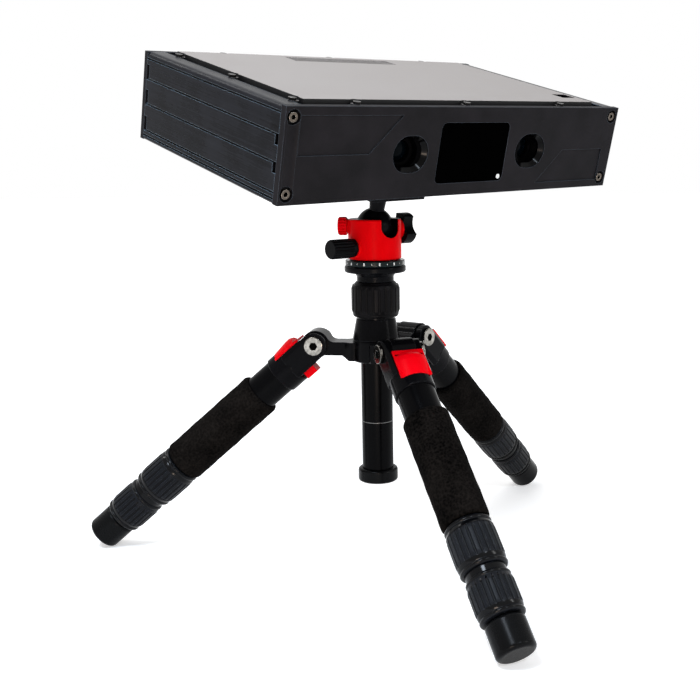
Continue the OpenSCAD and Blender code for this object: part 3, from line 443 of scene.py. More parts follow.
        # Painted shade in grooves and sockets, by how little of the surroundings each spot sees.
        if self.valley_mm > 0:
            colour = self._shaded(tree, colour, self._painted_groove_shade(tree), self.valley_shade)
        bump = add_node(
            tree, "ShaderNodeBump",
            {
                "Height": grain, "Distance": self.depth_mm * MM, "Strength": 1.0,
                "Normal": rounded,
            },
        )
        shader = add_node(
            tree, "ShaderNodeBsdfPrincipled",
            {
                "Base Color": colour,
                "Roughness": gloss.outputs[0],
                "Normal": bump.outputs[0],
                "Metallic": self.metallic,
                "Specular IOR Level": self.specular,
            },
        )
        add_node(tree, "ShaderNodeOutputMaterial", {"Surface": shader.outputs[0]})
        return made


# Black lacquer over a casting: deep gloss with bright rims where edges catch the lamps.
CASTING = Finish(
    "gloss_lacquer_on_cast_aluminium", body="#050506", fleck="#0b0b0e", roughness=0.18, spread=0.05,
    grain_mm=1.6, depth_mm=0.008, pattern=Pattern.MOULDED, edge_mm=0.9, edge="#34373c",
    edge_share=0.35, specular=0.04,
)
# Drawn and anodised tube: black with one thin long highlight.
TUBE = Finish(
    "satin_anodised_tube", body="#020203", fleck="#070708", roughness=0.22, spread=0.05,
    grain_mm=0.5, depth_mm=0.004, pattern=Pattern.BLASTED, edge_mm=0.3, specular=0.035,
)
# Closed-cell foam: dull, nearly black, with pits that only show in the lit side. Cells are drawn
# at 1.5 mm, coarser than real ones, so that they show in the render.
FOAM = Finish(
    "closed_cell_foam", body="#010101", fleck="#1d1a18", roughness=0.95, spread=0.05, grain_mm=1.5,
    depth_mm=0.4, pattern=Pattern.FOAMED, edge_mm=1.0, specular=0.02,
)
# Moulded rubber sleeve: blue-black and half dull, with a painted highlight on the rib crests and
# painted shade between them.
RIBBED_RUBBER = Finish(
    "moulded_ribbed_rubber", body="#090a0d", fleck="#15181d", roughness=0.38, spread=0.08,
    grain_mm=0.8, depth_mm=0.02, pattern=Pattern.MOULDED, edge_mm=0.35, edge="#59606c",
    edge_share=0.7, specular=0.09, valley_mm=2.6, valley_to=1.0,
)
# Collar rubber: the same sleeve, blacker and smoother from handling, with a painted highlight on
# its edges and painted shade in its grooves.
COLLAR_RUBBER = Finish(
    "handled_collar_rubber", body="#080808", fleck="#121113", roughness=0.34, spread=0.06,
    grain_mm=0.8, depth_mm=0.012, pattern=Pattern.MOULDED, edge_mm=0.4, edge="#2c2c30",
    edge_share=0.5, specular=0.04, valley_mm=2.2,
)
# Gloss ring of the twist locks: moulded black with a clean highlight. The same black paints the
# shade in the sockets of the cover screws.
GLOSS_RING_AND_SHADE = Finish(
    "gloss_moulded_ring_and_painted_shade", body="#030304", fleck="#07080a", roughness=0.14, spread=0.04,
    grain_mm=3.0, depth_mm=0.002, pattern=Pattern.POLISHED, edge_mm=0.3, specular=0.12,
)
# Foot rubber: smooth, black, with one soft highlight down its side.
FOOT_RUBBER = Finish(
    "moulded_foot_rubber", body="#050506", fleck="#0c0d0e", roughness=0.26, spread=0.06,
    grain_mm=0.9, depth_mm=0.012, pattern=Pattern.MOULDED, edge_mm=0.6, specular=0.06,
)
# Red dyed anodising: saturated, with a satin sheen and a paler painted highlight on its edges.
RED = Finish(
    "red_dyed_anodised_aluminium", body="#f0000c", fleck="#fa0418", roughness=0.3, spread=0.05,
    grain_mm=0.35, depth_mm=0.004, pattern=Pattern.BLASTED, edge_mm=0.5, edge="#ff3c34",
    edge_share=0.3, specular=0.025,
)
# The same red on the ball housing, with a painted highlight on its edges; its bore and notch walls
# are painted black as shade.
RED_HOUSING = Finish(
    "red_dyed_housing_with_painted_bore_shade", body="#e60006", fleck="#f2040e", roughness=0.3, spread=0.05,
    grain_mm=0.35, depth_mm=0.004, pattern=Pattern.BLASTED, edge_mm=0.5, edge="#ff3c34",
    edge_share=0.3, specular=0.02, bore_shade_r=19.3,
)
# Polished steel bolts: dark and bright patches painted in as the reflection of a room in a mirror,
# and painted shade in their sockets.
STEEL = Finish(
    "polished_bolt_steel", body="#141312", fleck="#b6b2aa", roughness=0.16, spread=0.06,
    grain_mm=2.4, depth_mm=0.02, pattern=Pattern.POLISHED, edge_mm=0.3, metallic=1.0, valley_mm=2.5,
    valley_shade="#17181a",
)
# Worn steel band between the column sections: grey and half dull.
WORN_STEEL = Finish(
    "worn_steel_band", body="#4a4a4a", fleck="#686865", roughness=0.34, spread=0.08, grain_mm=0.6,
    depth_mm=0.004, pattern=Pattern.BLASTED, edge_mm=0.2, metallic=1.0,
)
# Black anodising on turned parts of the head: satin, with grey rims painted on as edge highlights.
TURNED_BLACK = Finish(
    "satin_anodised_turned_part", body="#060607", fleck="#0e0f12", roughness=0.24, spread=0.06,
    grain_mm=0.4, depth_mm=0.004, pattern=Pattern.BLASTED, edge_mm=0.5, edge="#4a4d53",
    edge_share=0.4, specular=0.035,
)
# Scale ring: dark gloss, with a faint teal tint and a teal rim painted in as its reflection.
SCALE = Finish(
    "gloss_scale_ring_with_painted_teal_reflection", body="#050d0e", fleck="#0a1b1d", roughness=0.16, spread=0.04,
    grain_mm=2.0, depth_mm=0.002, pattern=Pattern.POLISHED, edge_mm=0.6, edge="#3a7f88",
    edge_share=0.8, specular=0.12,
)
# Knob rubber: satin black, with soft rims painted on as edge highlights and painted shade in its
# grooves.
KNOB = Finish(
    "moulded_knob_rubber", body="#040405", fleck="#0b0c0e", roughness=0.36, spread=0.08,
    grain_mm=0.8, depth_mm=0.015, pattern=Pattern.MOULDED, edge_mm=0.8, edge="#303338",
    edge_share=0.4, specular=0.035, valley_mm=1.6,
)
# Blasted and anodised plate: even and charcoal, with thin pale painted highlights on its edges and
# painted shade in its counterbores and grooves.
PANEL = Finish(
    "blasted_anodised_plate", body="#111112", fleck="#232124", roughness=0.46, spread=0.06,
    grain_mm=0.35, depth_mm=0.012, pattern=Pattern.BLASTED, edge_mm=0.45, edge="#6f7b87",
    edge_share=0.5, specular=0.035, valley_mm=3.0, valley_to=0.7,
)
# Extruded side: near black, with drawn lines from front to rear, a cold sheen painted on the ridges
# as a highlight, and painted shade in its grooves. The lines are drawn at 1.6 mm, coarser than real
# ones, so that they show in the render.
EXTRUSION = Finish(
    "extruded_anodised_side", body="#08080a", fleck="#212227", roughness=0.28, spread=0.08,
    grain_mm=1.6, depth_mm=0.02, pattern=Pattern.DRAWN, edge_mm=0.6, edge="#8fa6b8", edge_share=0.6,
    specular=0.05, valley_mm=2.5, turn=(math.radians(LAYOUT.pitch), math.radians(LAYOUT.roll), 0.0),
    lengthen=(1.0, 90.0, 1.0),
)
# Satin cover plate: warm grey with a fine even grit, and a painted highlight on its edges. The
# walls of its slots are painted black as shade, against the lit grey of its top.
COVER = Finish(
    "satin_anodised_cover", body="#7a726e", fleck="#88827e", roughness=0.42, spread=0.05,
    grain_mm=0.3, depth_mm=0.006, pattern=Pattern.BLASTED, edge_mm=0.3, edge="#a8a6a5",
    edge_share=0.2, specular=0.4, sides="#0b0b0c",
)
# Blackened cover screws: dull, with a bright rim painted on as an edge highlight.
SCREW = Finish(
    "blackened_steel_screw", body="#171616", fleck="#2a2827", roughness=0.32, spread=0.08,
    grain_mm=0.4, depth_mm=0.004, pattern=Pattern.BLASTED, edge_mm=0.3, metallic=0.6,
    edge="#a09a92", edge_share=0.6, specular=0.2,
)
# Panel screws: dark bronze heads in the black panel, with a bright rim painted on as an edge
# highlight and painted shade in their sockets.
PANEL_SCREW = Finish(
    "bronzed_steel_panel_screw", body="#403a34", fleck="#60574e", roughness=0.34, spread=0.08,
    grain_mm=0.5, depth_mm=0.01, pattern=Pattern.BLASTED, edge_mm=0.4, metallic=1.0, edge="#d8cfc2",
    edge_share=0.5, valley_mm=2.0,
)
# Dark float glass over the projector: black, with faint smears.
DARK_GLASS = Finish(
    "polished_black_glass", body="#010101", fleck="#020202", roughness=0.06, spread=0.02,
    grain_mm=12.0, depth_mm=0.0, pattern=Pattern.POLISHED, edge_mm=0.3, specular=0.0,
)
# Coated lens: a deep blue-green reflection over black.
LENS = Finish(
    "coated_lens_glass", body="#010204", fleck="#02070b", roughness=0.04, spread=0.01, grain_mm=8.0,
    depth_mm=0.0, pattern=Pattern.POLISHED, edge_mm=0.2, specular=0.02,
)
# Inner housings: moulded, dull black. The same black paints the shade in the sockets of the pivot
# bolts and at the step of each latch.
HOUSING_AND_SHADE = Finish(
    "moulded_inner_housing_and_painted_shade", body="#020202", fleck="#050505", roughness=0.55, spread=0.08,
    grain_mm=0.6, depth_mm=0.01, pattern=Pattern.MOULDED, edge_mm=0.4, specular=0.01,
)
# Lens hood: dull black, so that only the liner round it takes a glint.
HOOD = Finish(
    "dull_black_lens_hood", body="#010101", fleck="#020203", roughness=0.4, spread=0.03,
    grain_mm=2.0, depth_mm=0.002, pattern=Pattern.POLISHED, edge_mm=0.2, specular=0.01,
)
# Port liner: a smooth black bevel that takes one small glint.
LINER = Finish(
    "smooth_black_port_liner", body="#010101", fleck="#020203", roughness=0.14, spread=0.03,
    grain_mm=2.0, depth_mm=0.002, pattern=Pattern.POLISHED, edge_mm=0.2, specular=0.07,
)
# Circuit board: green lacquer with a woven unevenness.
BOARD = Finish(
    "lacquered_circuit_board", body="#0f3a25", fleck="#1c5a3a", roughness=0.35, spread=0.08,
    grain_mm=0.5, depth_mm=0.01, pattern=Pattern.BLASTED, edge_mm=0.2,
)
# Printed marks: plain white ink. The same white paints the glint in the projector window.
INK_AND_GLINT = Finish(
    "white_ink_and_painted_glint", body="#dfe3e2", fleck="#eef0ef", roughness=0.5, spread=0.05, grain_mm=0.5,
    depth_mm=0.0, pattern=Pattern.MOULDED, edge_mm=0.1,
)


class Shape:
    """A mesh under construction, in millimetres in a local frame."""

    def __init__(self) -> None:
        """Starts an empty mesh."""
        self.mesh = bmesh.new()

    def lathe(self, profile: Outline, steps: int = 96) -> "Shape":
        """Turns a closed outline round the Z axis.

        Args:
            profile: Radius and height of each corner, in order round the outline.
            steps: Facets in a full turn.

        Returns:
            This shape.
        """
        rings = []
        for i in range(steps):
            a = 2 * math.pi * i / steps
            spots = [(r * math.cos(a), r * math.sin(a), z) for r, z in profile]
            rings.append([self.mesh.verts.new(spot) for spot in spots])
        for i, near in enumerate(rings):
            far = rings[(i + 1) % steps]
            for j in range(len(profile)):
                k = (j + 1) % len(profile)
                self.mesh.faces.new((near[j], far[j], far[k], near[k]))
        return self

    def block(self, low: Point, high: Point) -> "Shape":
        """Adds a box between two corners.

        Args:
            low: Lowest corner.
            high: Highest corner.

        Returns:
            This shape.
        """
        size = [h - l for l, h in zip(low, high)]
        middle = [(h + l) / 2 for l, h in zip(low, high)]
        place = Matrix.Translation(middle) @ Matrix.Diagonal((*size, 1.0))
        bmesh.ops.create_cube(self.mesh, size=1.0, matrix=place)
        return self

    def prism(self, outline: Outline, bottom: float, top: float, place: Matrix) -> "Shape":
        """Adds an upright prism.

        Args:
            outline: Corners of its flat outline.
            bottom: Lower end.
            top: Upper end.
            place: Frame of the prism inside the shape's own frame.

        Returns:
            This shape.
        """
        low = [self.mesh.verts.new(place @ Vector((x, y, bottom))) for x, y in outline]
        high = [self.mesh.verts.new(place @ Vector((x, y, top))) for x, y in outline]
        self.mesh.faces.new(list(reversed(low)))
        self.mesh.faces.new(high)
        for i in range(len(outline)):
            j = (i + 1) % len(outline)
            self.mesh.faces.new((low[i], low[j], high[j], high[i]))
        return self

    def piece(
        self, name: str, place: Matrix, body: str, finish: Finish, slot: str,
    ) -> bpy.types.Object:
        """Makes the Blender object, dresses it and lets it ride.

        Args:
            name: Piece name.
            place: Frame of the shape in the object.
            body: CAD body that carries the piece.
            finish: Its finish.
            slot: The record's material slot; not used.

        Returns:
            The new object.
        """
        bmesh.ops.transform(self.mesh, matrix=place @ Matrix.Scale(MM, 4), verts=self.mesh.verts)
        bmesh.ops.recalc_face_normals(self.mesh, faces=self.mesh.faces)
        data = bpy.data.meshes.new(name)
        self.mesh.to_mesh(data)
        self.mesh.free()
        data.shade_smooth()
        data.set_sharp_from_angle(angle=SHARP_ANGLE)
        made = bpy.data.objects.new(name, data)
        bpy.context.scene.collection.objects.link(made)
        data.materials.append(finish.material())
        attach(made, body)
        LOG.info("piece %s on %s in %s", name, body, finish.name)
        return made


def dress(finish: Finish, *nodes: str) -> None:
    """Gives CAD nodes a finish.

    Args:
        finish: The finish.
        nodes: Node names.
    """
    for name in nodes:
        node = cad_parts[name]
        node.data.materials.clear()
        node.data.materials.append(finish.material())
        LOG.info("node %s in %s", name, finish.name)


def arc(cx: float, cy: float, r: float, start: float, end: float, steps: int) -> list[Pair]:
    """Points on an arc.

    Args:
        cx: Centre, first coordinate.
        cy: Centre, second coordinate.
        r: Radius.
        start: First angle in degrees.
        end: Last angle in degrees.
        steps: Number of spans.

    Returns:
        The points in order.
    """
    turns = [math.radians(start + (end - start) * i / steps) for i in range(steps + 1)]
    return [(cx + r * math.cos(t), cy + r * math.sin(t)) for t in turns]


def band(inner: float, outer: float, low: float, high: float) -> list[Pair]:
    """Outlines a plain ring for the lathe.

    Args:
        inner: Inner radius.
        outer: Outer radius.
        low: Lower end.
        high: Upper end.

    Returns:
        Its four corners.
    """
    return [(inner, low), (outer, low), (outer, high), (inner, high)]


@dataclass
class Leg:
    """One telescoping leg, from its pivot to its rubber foot.

    Stations are millimetres down the leg from its pivot.
    """

    index: int
    tube_r: float = 14.02
    foam_r: float = 17.0
    foam_ends: Pair = (60.0, 146.0)
    foam_round: float = 2.6
    foam_tuck: float = 0.2
    foam_rows: int = 24
    foam_spans: int = 6
    foam_facets: int = 72
    # Unevenness of the foam: depth of its skin, mean and swing of the dents, their lobes round
    # the sleeve and their waves along it, in radians per millimetre.
    skin: float = 0.5
    dent: float = 0.12
    swing: float = 0.1
    lobes: tuple[int, int] = (3, 2)
    long_wave: float = 0.21
    short_wave: float = 0.47
    # Twist locks: stations of their ends, and radius of their lips.
    upper_rings: Pair = (147.0, 181.0)
    upper_ring_r: float = 15.8
    lower_rings: Pair = (185.6, 214.6)
    lower_ring_r: float = 14.8
    # Gloss ring, measured from the lock's end and lip: its bore, its bead and its flare.
    ring_h: float = 6.0
    ring_gap: float = 0.3
    ring_in: float = 1.3
    bead_in: float = 0.75
    bead_at: float = 1.7
    bead_r: float = 1.3
    bead_turn: Pair = (-75.0, 65.0)
    bead_spans: int = 8
    flare_at: float = 3.2
    flare_out: Pair = (0.12, 0.72)
    collar: Pair = (181.7, 185.8)
    collar_r: float = 13.85
    collar_wall: float = 0.8
    # Painted shade in the sockets of the pivot bolt's heads.
    bolt_face: float = 17.7
    socket_deep: float = 1.4
    socket_r: float = 2.75
    socket_gap: float = 0.05
    socket_fill: float = 0.5
    socket_facets: int = 36
    # Painted shade across the latch, at the step above its crown.
    step_shade_x: float = 12.4
    step_shade_proud: float = 0.06
    step_shade_deep: float = 0.3
    step_shade_half: float = 10.8
    step_shade_s: Pair = (11.3, 12.2)

    def foam(self) -> None:
        """Builds the foam grip, a sleeve with soft ends and a slightly uneven skin."""
        (low, high), e = self.foam_ends, self.foam_round
        rows, length = self.foam_rows, high - low - 2 * e
        outline = [(self.tube_r, low + self.foam_tuck)]
        outline += arc(self.foam_r - e, low + e, e, -90, 0, self.foam_spans)
        outline += [(self.foam_r, low + e + length * i / rows) for i in range(1, rows)]
        outline += arc(self.foam_r - e, high - e, e, 0, 90, self.foam_spans)
        outline += [(self.tube_r, high - self.foam_tuck)]
        shape = Shape().lathe(outline, self.foam_facets)
        for v in shape.mesh.verts:
            r = math.hypot(v.co.x, v.co.y)
            if r > self.foam_r - self.skin:
                a = math.atan2(v.co.y, v.co.x)
                wave = math.sin(self.lobes[0] * a + v.co.z * self.long_wave + self.index)
                wave += math.sin(v.co.z * self.short_wave - self.lobes[1] * a)
                grow = 1 - (self.dent + self.swing * wave) / r
                v.co.x *= grow
                v.co.y *= grow
        name, body = f"foam_sleeve_{self.index}", f"leg_{self.index}"
        sleeve = shape.piece(name, LAYOUT.leg(self.index), body, FOAM, "black_foam")
        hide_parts(f"foam_grip_{self.index}")

    def ring_outline(self, r: float, start: float, way: int) -> list[Pair]:
        """Outlines an end ring: a round bead, then a flare over the first of the ribs.

        Args:
            r: Radius of the lock's lip.
            start: Where the lock ends, along the leg.
            way: 1 where the lock goes on down the leg, -1 where it goes on up.

        Returns:
            Radius and station of each corner.
        """
        inner = r - self.ring_in
        rise, rim = self.flare_out
        corners = [(inner, self.ring_gap)]
        corners += arc(
            r - self.bead_in, self.bead_at, self.bead_r, *self.bead_turn, self.bead_spans,
        )
        corners += [(r + rise, self.flare_at), (r + rim, self.ring_h), (inner, self.ring_h)]
        return [(x, start + way * s) for x, s in corners]

    def rings(self) -> None:
        """Builds the gloss rings at both ends of each twist lock, and the collar between them."""
        for kind, ends, r in (
            ("upper", self.upper_rings, self.upper_ring_r),
            ("lower", self.lower_rings, self.lower_ring_r),
        ):
            shape = Shape()
            for start, way in zip(ends, (1, -1)):
                shape.lathe(self.ring_outline(r, start, way))
            if kind == "lower":
                shape.lathe(band(self.collar_r - self.collar_wall, self.collar_r, *self.collar))
            shape.piece(
                f"{kind}_lock_rings_{self.index}", LAYOUT.leg(self.index),
                f"{kind}_twist_{self.index}", GLOSS_RING_AND_SHADE, "ribbed_rubber",
            )

    def shade_bolt_sockets(self) -> None:
        """Builds the painted shade, a dark disc, in the sockets of the pivot bolt's two heads."""
        low = self.bolt_face - self.socket_deep + self.socket_gap
        high = self.bolt_face - self.socket_fill * self.socket_deep
        shape = Shape()
        for side in (-1, 1):
            floor = band(AXIS_R, self.socket_r, side * low, side * high)
            shape.lathe(floor, self.socket_facets)
        across = LAYOUT.leg(self.index) @ Z_TO_Y
        shape.piece(f"bolt_socket_shade_{self.index}", across, "stand", HOUSING_AND_SHADE, "black_plastic")

    def shade_latch_step(self) -> None:
        """Builds the painted shade across the latch, a dark strip at the step above its crown."""
        low = (-self.step_shade_x - self.step_shade_proud, -self.step_shade_half, self.step_shade_s[0])
        high = (self.step_shade_deep - self.step_shade_x, self.step_shade_half, self.step_shade_s[1])
        name, body = f"latch_step_shade_{self.index}", f"latch_{self.index}"
        shade_strip = Shape().block(low, high)
        shade_strip.piece(name, LAYOUT.leg(self.index), body, HOUSING_AND_SHADE, "black_plastic")

    def build(self) -> None:
        """Dresses the leg's nodes and builds its soft and small pieces."""
        i = self.index
        dress(CASTING, f"leg_casting_{i}")
        dress(TUBE, f"upper_tube_{i}", f"middle_tube_{i}", f"lower_tube_{i}")
        dress(RIBBED_RUBBER, f"upper_lock_{i}", f"lower_lock_{i}")
        dress(FOOT_RUBBER, f"foot_{i}")
        dress(RED, f"angle_latch_{i}")
        self.foam()
        self.rings()
        self.shade_bolt_sockets()
        self.shade_latch_step()


@dataclass
class Column:
    """Spider, pivot bolts and the sliding column."""

    ring_z: float = 106.52
    ring_h: float = 0.7
    ring_r: float = 11.9
    ring_wall: float = 1.0

    def build(self) -> None:
        """Dresses the nodes and adds the bright ring between the column sections."""
        dress(CASTING, "spider")
        dress(STEEL, "pivot_bolts")
        dress(COLLAR_RUBBER, "column_collar")
        dress(TURNED_BLACK, "column_head")
        dress(TUBE, "column_upper", "column_lower")
        dress(FOOT_RUBBER, "column_end")
        low, high = self.ring_z - self.ring_h / 2, self.ring_z + self.ring_h / 2
        ring = Shape().lathe(band(self.ring_r - self.ring_wall, self.ring_r, low, high))
        ring.piece("column_bright_ring", LAYOUT.column(), "column", WORN_STEEL, "bright_steel")


@dataclass
class BallHead:
    """Ball head with its scale ring and knobs."""

    scale_r: float = 22.5
    scale_z: float = 226.6
    scale_h: float = 4.2
    # Printed marks: how many, which ones are long, their width and height, and how they sit.
    marks: int = 24
    long_every: int = 2
    long_mark: Pair = (1.1, 2.1)
    short_mark: Pair = (0.4, 1.0)
    mark_deep: float = 0.25
    mark_proud: float = 0.05

    def scale_marks(self) -> None:
        """Builds the printed marks round the scale ring."""
        shape = Shape()
        middle = self.scale_z + self.scale_h / 2
        for i in range(self.marks):
            wide, tall = self.short_mark if i % self.long_every else self.long_mark
            turn = Matrix.Rotation(2 * math.pi * i / self.marks, 4, "Z")
            before = len(shape.mesh.verts)
            low = (self.scale_r - self.mark_deep, -wide / 2, middle - tall / 2)
            shape.block(low, (self.scale_r + self.mark_proud, wide / 2, middle + tall / 2))
            shape.mesh.verts.ensure_lookup_table()
            bmesh.ops.transform(shape.mesh, matrix=turn, verts=shape.mesh.verts[before:])
        shape.piece("scale_marks", LAYOUT.column(), "column", INK_AND_GLINT, "dark_scale")

    def build(self) -> None:
        """Dresses the head and adds the scale marks."""
        dress(TURNED_BLACK, "head_base", "ball_stem")
        dress(SCALE, "scale_ring")
        dress(RED_HOUSING, "ball_housing")
        dress(RED, "friction_knob")
        dress(KNOB, "ball_lock_knob", "pan_lock_knob", "clamp_knob")
        dress(TURNED_BLACK, "clamp_base", "clamp_jaw", "release_plate")
        dress(STEEL, "plate_bolt")
        self.scale_marks()


@dataclass
class Scanner:
    """The scanner's case, optics and connectors.

    Outlines give radius and station, from the face that the piece sits in.
    """

    half_depth: float = 86.0
    optics_x: float = 5.3
    optics_z: float = 29.0
    # Camera ports, with the liner that bevels their rims.
    port_x: float = 55.5
    port_r: float = 12.2
    port_stretch: float = 2.55
    port_gap: float = 0.12
    bevel: float = 2.8
    liner_in: float = 0.7
    liner_back: float = 4.8
    # Cameras: the ring at the rim of the lens and the hood, from the front of the barrel.
    camera_y: float = -60.0
    toe_in: float = 8.0
    barrel_len: float = 17.0
    lens_r: float = 8.5
    lens_ring: Outline = ((-0.05, -1.2), (-0.05, 0.3), (-0.9, 0.1), (-1.6, -1.2))
    hood: Outline = (
        (9.4, -1.0), (11.4, 3.6), (14.9, 3.6), (14.9, 3.1), (11.9, 3.1), (10.05, -1.0),
    )
    # Painted highlight in the projector window, a small white disc for the glint in its corner.
    window_in: float = 0.5
    dot_at: Pair = (33.1, 11.6)
    dot: Outline = ((AXIS_R, -0.05), (1.7, -0.05), (1.7, 0.25), (1.3, 0.45), (AXIS_R, 0.5))
    # Cover screws along the edges of the case, with the painted shade of their hexagon sockets.
    head_top: float = 61.5
    screw_x: tuple[float, ...] = (-93.0, 0.0, 93.0)
    screw_y: tuple[float, ...] = (-68.0, 0.0, 68.0)
    channel_x: float = 134.0
    channel_y: Pair = (-78.0, 79.0)
    hexagon_r: float = 1.25
    hexagon_deep: float = 0.4
    hexagon_proud: float = 0.02
    # Insert in the recess of the cover.
    status_low: Point = (114.2, -60.8, 61.0)
    status_high: Point = (127.8, -49.2, 61.6)
    # Power inlet in the rear panel.
    inlet: Pair = (100.0, 16.2)
    pin: Outline = ((AXIS_R, -9.9), (1.0, -9.9), (1.0, -1.6), (0.6, -1.0), (AXIS_R, -1.0))
    inlet_liner: Outline = (
        (AXIS_R, -9.4), (2.62, -9.4), (2.62, 0.04), (4.0, 0.04),
        (4.0, -0.15), (2.74, -0.15), (2.74, -9.9), (AXIS_R, -9.9),
    )
    # Data socket in the rear panel: half sizes of its shell, and how far its pieces reach.
    socket: Pair = (78.0, 17.1)
    shell_half: Pair = (5.4, 4.9)
    mouth_half: Pair = (4.9, 4.4)
    shell_deep: float = 0.2
    shell_proud: float = 0.15
    mouth_proud: float = 0.03
    small_facets: int = 32
    liner_facets: int = 48

    def build(self) -> None:
        """Dresses the case and adds its small pieces."""
        dress(PANEL, "front_panel", "rear_panel", "bottom_plate")
        dress(EXTRUSION, "left_side", "right_side")
        dress(COVER, "top_cover")
        dress(SCREW, "plate_screws")
        dress(PANEL_SCREW, "panel_screws")
        dress(DARK_GLASS, "projector_window")
        dress(HOUSING_AND_SHADE, "projector", "left_camera", "right_camera")
        dress(LENS, "camera_lenses")
        dress(BOARD, "main_board")
        self.window_glint()
        self.shade_screw_sockets()
        self.lens_rings()
        self.port_hoods()
        self.port_liners()
        self.status_window()
        self.power_inlet()
        self.data_socket()

    def window_glint(self) -> None:
        """Builds the painted highlight, a small pale disc for the glint in the corner of the
        projector window.
        """
        x, z = self.dot_at
        spot = Matrix.Translation(Vector((x, self.window_in - self.half_depth, z)) * MM)
        face = LAYOUT.case() @ (spot @ Z_TO_MINUS_Y)
        shape = Shape().lathe(self.dot, self.small_facets)
        shape.piece("window_glint_disc", face, "scanner", INK_AND_GLINT, "dark_glass")

    def shade_screw_sockets(self) -> None:
        """Builds the painted shade of the hexagon sockets, dark hexagons on the heads of the cover
        screws.
        """
        spots = [(x, y) for x in self.screw_x for y in self.channel_y]
        spots += [(x, y) for x in (-self.channel_x, self.channel_x) for y in self.screw_y]
        low, high = self.head_top - self.hexagon_deep, self.head_top + self.hexagon_proud
        hexagon = arc(0, 0, self.hexagon_r, 0, 300, 5)
        shape = Shape()
        for x, y in spots:
            shape.prism(hexagon, low, high, Matrix.Translation((x, y, 0)))
        shape.piece("cover_screw_socket_shade", LAYOUT.case(), "scanner", GLOSS_RING_AND_SHADE, "black_screw")

    def camera_frame(self, side: int) -> Matrix:
        """Finds the frame of a camera, with Z out of its lens.

        Args:
            side: -1 for the left camera, 1 for the right.

        Returns:
            The frame at the camera's front face.
        """
        spot = Vector((self.optics_x + side * self.port_x, self.camera_y, self.optics_z)) * MM
        aim = Matrix.Rotation(math.radians(side * self.toe_in), 4, "Z") @ Z_TO_MINUS_Y
        return LAYOUT.case() @ Matrix.Translation(spot) @ aim

    def lens_rings(self) -> None:
        """Builds the retaining ring in front of each lens."""
        outline = [(self.lens_r + r, self.barrel_len + z) for r, z in self.lens_ring]
        for name, side in CAMERAS:
            Shape().lathe(outline).piece(
                f"{name}_lens_ring", self.camera_frame(side), "scanner", HOOD, "black_plastic",
            )

    def port_hoods(self) -> None:
        """Builds the black cone between each camera port and its lens."""
        outline = [(r, self.barrel_len + z) for r, z in self.hood]
        for name, side in CAMERAS:
            Shape().lathe(outline).piece(
                f"{name}_port_hood", self.camera_frame(side), "scanner", HOOD, "black_plastic",
            )

    def port_liners(self) -> None:
        """Builds the bevelled liner in each oblong camera port."""
        outer = self.port_r - self.port_gap
        inner = outer - self.bevel
        front, back = -self.liner_in, -self.liner_back
        outline = [(outer, front), (inner, front - self.bevel), (inner, back), (outer, back)]
        for name, side in CAMERAS:
            shape = Shape().lathe(outline)
            for v in shape.mesh.verts:
                v.co.x += math.copysign(self.port_stretch, v.co.x)
            x = self.optics_x + side * self.port_x
            spot = Matrix.Translation(Vector((x, -self.half_depth, self.optics_z)) * MM)
            face = LAYOUT.case() @ (spot @ Z_TO_MINUS_Y)
            shape.piece(f"{name}_port_liner", face, "scanner", LINER, "black_plastic")

    def status_window(self) -> None:
        """Builds the dark insert in the cover's recess."""
        shape = Shape().block(self.status_low, self.status_high)
        shape.piece("status_window", LAYOUT.case(), "scanner", DARK_GLASS, "dark_glass")

    def power_inlet(self) -> None:
        """Builds the pin and the black liner of the power inlet."""
        x, z = self.inlet
        spot = Matrix.Translation(Vector((x, self.half_depth, z)) * MM)
        face = LAYOUT.case() @ (spot @ Z_TO_Y)
        pin = Shape().lathe(self.pin, self.small_facets)
        pin.piece("power_pin", face, "scanner", STEEL, "bright_steel")
        liner = Shape().lathe(self.inlet_liner, self.liner_facets)
        liner.piece("inlet_liner", face, "scanner", HOUSING_AND_SHADE, "black_plastic")

    def data_socket(self) -> None:
        """Builds the metal shell of the data socket and the dark block in it."""
        x, z = self.socket
        wide, tall = self.shell_half
        in_x, in_z = self.mouth_half
        back, front = self.half_depth - self.shell_deep, self.half_depth + self.shell_proud
        shell = Shape()
        for x0, x1, z0, z1 in (
            (-wide, wide, -tall, -in_z),
            (-wide, wide, in_z, tall),
            (-wide, -in_x, -in_z, in_z),
            (in_x, wide, -in_z, in_z),
        ):
            shell.block((x + x0, back, z + z0), (x + x1, front, z + z1))
        shell.piece("data_socket_shell", LAYOUT.case(), "scanner", STEEL, "bright_steel")
        face = self.half_depth + self.mouth_proud
        mouth = Shape().block((x - in_x, back, z - in_z), (x + in_x, face, z + in_z))
        mouth.piece("data_socket_block", LAYOUT.case(), "scanner", HOUSING_AND_SHADE, "black_plastic")


@dataclass(frozen=True)
class Lamp:
    """One softbox: its place and size in metres, its power in watts and its colour."""

    name: str
    place: Point
    size: Pair
    power: float
    tint: str = "#ffffff"


# The key light is high on the left, as the highlights in the photograph show. The others fill in,
# give the camera ports their glints, draw the rear edges and warm the low left side.
LAMPS = (
    Lamp("key_softbox", (-0.81, -0.29, 1.36), (0.32, 0.32), 16.0, "#e4f0ff"),
    Lamp("overhead_softbox", (0.3, 0.6, 1.8), (1.0, 1.0), 8.0),
    Lamp("front_softbox", (0.75, -1.5, 0.8), (0.3, 0.6), 6.0),
    Lamp("port_softbox", (-0.25, -1.23, 1.22), (0.2, 0.2), 5.0, "#e4f0ff"),
    Lamp("rear_strip", (-0.5, 0.9, 1.6), (0.1, 1.0), 7.0),
    Lamp("low_panel", (-0.52, -0.53, 0.08), (0.16, 0.12), 1.3, "#ffe6d2"),
)


